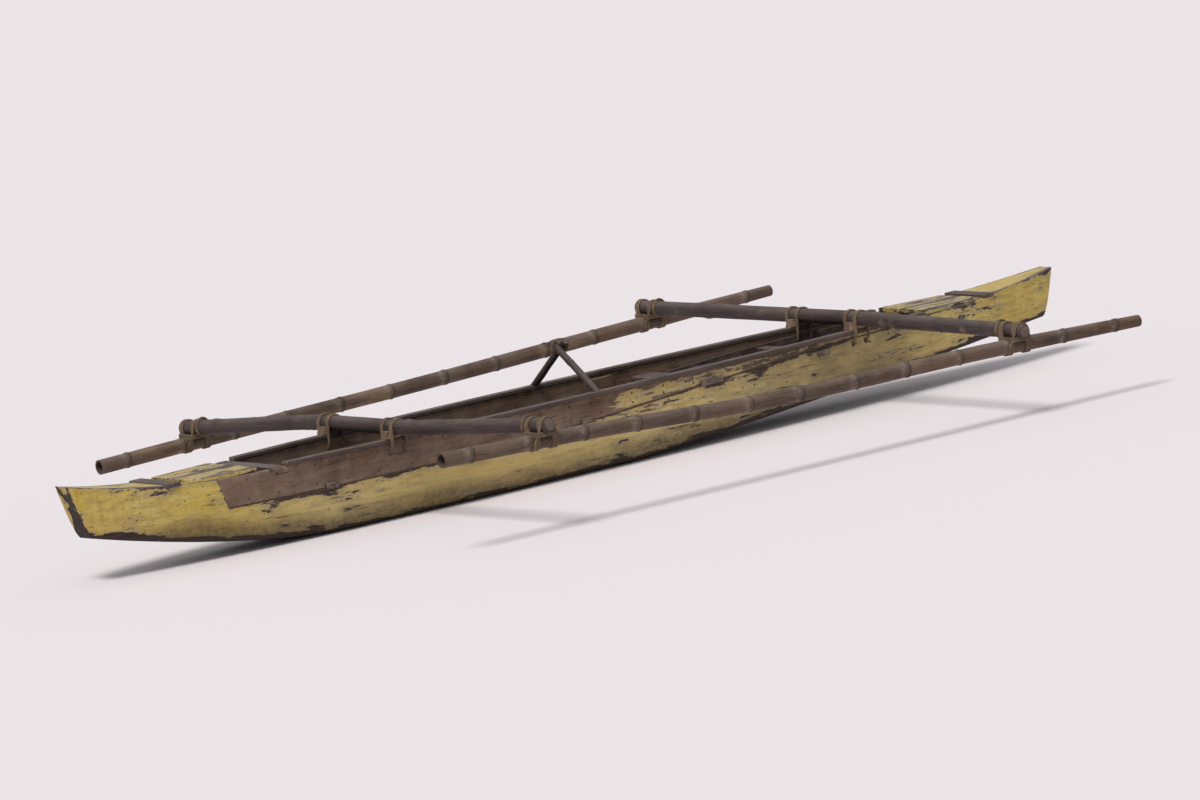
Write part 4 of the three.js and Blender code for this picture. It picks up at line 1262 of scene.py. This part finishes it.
def hitchPath(which, side):
    # a clove hitch on the boom just inside the float: two turns, the second crossing over the first on top
    o, w = outrigger, ropeWork
    angle = np.linspace(0, 4 * np.pi, 160, endpoint=False)
    y = side * (o["floatOffset"] - w["hitchFrom"]) + w["hitchHalf"] * np.cos(angle / 2)
    crossing = 1.9 * w["radius"] * np.exp(-((angle - 3 * np.pi) / 0.7) ** 2)
    reach = boomRadiusAt(y) + w["radius"] - w["bite"] + crossing
    turned = angle - np.pi / 2
    return boomLine(which, y) + joined(reach * np.cos(turned), 0, reach * np.sin(turned))


def frapTurn(turn):
    # a taut turn round the waist of the four legs, from corner to corner
    o, w = outrigger, ropeWork
    beyond = 2 * w["radius"] * (w["floatTurns"] - 1) / 2
    halfX = (o["boomRadius"] + w["radius"] + beyond) * w["pinch"] + w["frapOutside"]
    halfY = (o["caneRadius"] + w["radius"] + beyond) * w["pinch"] + w["frapOutside"]
    z = floatDrop / 2 + 1.9 * w["radius"] * (turn - (w["frapTurns"] - 1) / 2)
    corners = np.array([(1, 1), (-1, 1), (-1, -1), (1, -1)]) * (halfX, halfY)
    return np.column_stack([corners, np.full(4, z)])


def tiePath(turn, station, side):
    # one turn of a hull lashing: over the boom outside the rail, down, through the hull's side, up inside
    # and back over
    o, w, f = outrigger, ropeWork, hullForm
    r = w["radius"]
    boomR = o["boomRadius"] + r - w["bite"]
    beam = float(halfBeamAt(np.array(station)))
    outer = beam + f["railOutside"] + w["tieGap"] + r + 2 * r * turn
    inner = beam - f["railInside"] - w["tieGap"] - r - 2 * r * turn
    gathered = 2 * r * turn * w["tieGather"]
    holeZ = -o["boomOverRail"] - w["tieDepth"]
    half = np.linspace(0, np.pi, 22)
    over = joined(boomR * np.cos(half), outer, boomR * np.sin(half))
    hole = boomR + 0.6 * r * (turn - 1)
    down = np.array([(-boomR, outer, -0.02), (-boomR, outer - gathered, holeZ + 0.036),
                     (-hole, beam + 0.012, holeZ + 0.008), (-hole, beam - 0.01, holeZ),
                     (-hole, beam - 0.035, holeZ), (-boomR, inner + gathered, holeZ + 0.036),
                     (-boomR, inner, -0.02)])
    overBack = joined(-boomR * np.cos(half), inner, boomR * np.sin(half))
    up = down[::-1] * (-1, 1, 1)
    return np.concatenate([over, down, overBack, up]) * (1, side, 1)


def buildLashings(settings):
    # each lashing is a few closed turns of rope, placed at its own crossing and sloped with its poles
    o = outrigger
    reach = 0.05    # the slopes at a crossing are taken over this length on both sides
    near = np.array([-reach, 0.0, reach])
    for which in ("rear", "front"):
        station = o[which + "Station"]
        for side, word in bothSides:
            boomHere = boomLine(which, side * (o["floatOffset"] + near))
            boomSlope = side * (boomHere[2, 2] - boomHere[0, 2]) / (2 * reach)
            caneHere = floatLine(side, boomHere[1, 0] + near)
            floatSlope = (caneHere[2, 2] - caneHere[0, 2]) / (2 * reach)
            place = np.array([boomHere[1, 0], caneHere[1, 1], boomHere[1, 2] - floatDrop])
            heart = place + (0, 0, floatDrop / 2)
            parts = []
            for turn in range(settings["floatTurns"]):
                path = evenPath(floatTurn(turn, boomSlope, floatSlope), settings["step"],
                                settings["floatBend"])
                parts.append(ropeSkin(path + place, heart))
            for turn in range(settings["frapTurns"]):
                path = evenPath(frapTurn(turn), settings["step"], settings["frapBend"])
                parts.append(ropeSkin(path + place, heart))
            hitch = evenPath(hitchPath(which, side), settings["step"], settings["hitchBend"])
            parts.append(ropeSkin(hitch, hitch.mean(axis=0)))
            nodes = [f"lashing_float_{which}_{word}"]
            makePiece(f"rope_float_{which}_{word}", parts, materials["rope"], nodes, 180)
            parts = []
            beam = float(halfBeamAt(np.array(station)))
            origin = boomLine(which, side * beam) * (1, 0, 1)
            for turn in range(settings["hullTurns"]):
                path = evenPath(tiePath(turn, station, side), settings["step"], settings["hullBend"])
                parts.append(ropeSkin(path + origin, origin + (0, side * (beam - 0.008), -0.05)))
            nodes = [f"lashing_hull_{which}_{word}"]
            makePiece(f"rope_hull_{which}_{word}", parts, materials["rope"], nodes, 180)
    print("lashings done")


buildLashings(ropeWork)

# The rest amidships: two sticks that cross over the hull
restPiece = {
    "station": 2.605, "radius": 0.017, "foot": 0.262, "crossing": 0.548, "fork": 0.034, "gap": 0.0004,
    "sides": 20, "crook": 0.0015, "ripple": 0.0006, "knots": 3, "knotHeight": 0.003, "knotOver": 0.012,
    "ropeRadius": 0.003, "ropeTurns": 4, "ropeStep": 0.003, "ropeBend": 0.003, "roundness": 0.6,
}


def buildRest(settings):
    # each stick is a slightly crooked pole from the rail to beyond the crossing, which rope turns bind
    climb = np.array([settings["foot"], settings["crossing"] - railTop])
    long = np.linalg.norm(climb)
    way = climb / long
    x, thick, count = xAt(settings["station"]), settings["radius"], settings["sides"]
    angle = fullTurn(count)
    for number, (side, word) in enumerate(bothSides):
        t = np.linspace(-0.02, long + settings["fork"], 60)
        line = joined(x + side * (thick + settings["gap"]) + settings["crook"] * np.sin(t * 17 + side),
                      side * (settings["foot"] - way[0] * t), railTop + way[1] * t)
        draw = np.random.default_rng(120 + number)
        places = [(draw.uniform(0.02, long), draw.uniform(0, 2 * np.pi), settings["knotHeight"])
                  for _ in range(settings["knots"])]
        ripple = settings["ripple"] * waves(line, 0.08, 130 + number)[:, None]
        radius = thick - 0.0012 + ripple + knots(t[:, None], angle, places, settings["knotOver"])
        rings = softenEnds(poleRings(line, radius, count, (1, 0, 0)), 0.003)
        rings[..., 2] = np.maximum(rings[..., 2], railTop + settings["gap"])
        parts = [skin(rings, marks={"edge": 0.0})]
        makePiece(f"rest_pole_{word}", parts, materials["pole"], [f"rest_stick_{word}"])
    angle = fullTurn(70)
    c, s = np.cos(angle), np.sin(angle)
    centre = np.array([x, 0, settings["crossing"]])
    rope, turns = settings["ropeRadius"], settings["ropeTurns"]
    wide, tall = 2 * thick + rope, thick + 0.014
    parts = []
    for turn in range(turns):   # round boxes about both sticks, side by side, that lean by turns
        lean = 0.004 if turn % 2 else -0.004
        y = (turn - (turns - 1) / 2) * 2 * rope * 0.95
        loop = joined(wide * rounded(c, settings["roundness"]), y + lean * c,
                      tall * rounded(s, settings["roundness"]))
        path = evenPath(loop, settings["ropeStep"], settings["ropeBend"])
        parts.append(ropeSkin(path + centre, centre, rope))
    makePiece("rest_rope", parts, materials["rope"], ["rest_lashing"], 180)
    print("rest done")


buildRest(restPiece)

# Floor, light and background
studio = {
    "floorHalf": 140.0, "floorColour": sRgb(228, 220, 221),
    "worldColour": (0.93, 0.95, 1.0), "worldStrength": 0.5,
    "sunStrength": 2.3, "sunAngle": 20.0, "sunTurn": 62.0, "sunHeight": 58.0,
}


def buildStudio(settings):
    half = settings["floorHalf"]
    mesh = bpy.data.meshes.new("floor")
    corners = [(-half, -half, 0), (half, -half, 0), (half, half, 0), (-half, half, 0)]
    mesh.from_pydata(corners, [], [(0, 1, 2, 3)])
    floor = bpy.data.objects.new("floor", mesh)
    floor.location = (0, 0, -0.0006)
    bpy.context.scene.collection.objects.link(floor)
    material, _, shader = startMaterial("floorPale", 0.95, 0.1)
    shader.inputs["Base Color"].default_value = (*settings["floorColour"], 1)
    mesh.materials.append(material)
    world = bpy.data.worlds.new("studio")
    world.use_nodes = True
    background = world.node_tree.nodes["Background"]
    background.inputs["Color"].default_value = (*settings["worldColour"], 1)
    background.inputs["Strength"].default_value = settings["worldStrength"]
    bpy.context.scene.world = world
    sun = bpy.data.lights.new("sun", "SUN")
    sun.energy = settings["sunStrength"]
    sun.angle = math.radians(settings["sunAngle"])
    lamp = bpy.data.objects.new("sun", sun)
    turn, height = math.radians(settings["sunTurn"]), math.radians(settings["sunHeight"])
    lamp.rotation_mode = "QUATERNION"
    lamp.rotation_quaternion = wayTo(turn, height).to_track_quat("Z", "Y")
    bpy.context.scene.collection.objects.link(lamp)
    bpy.context.scene.view_settings.view_transform = "Standard"
    print("studio done")


buildStudio(studio)
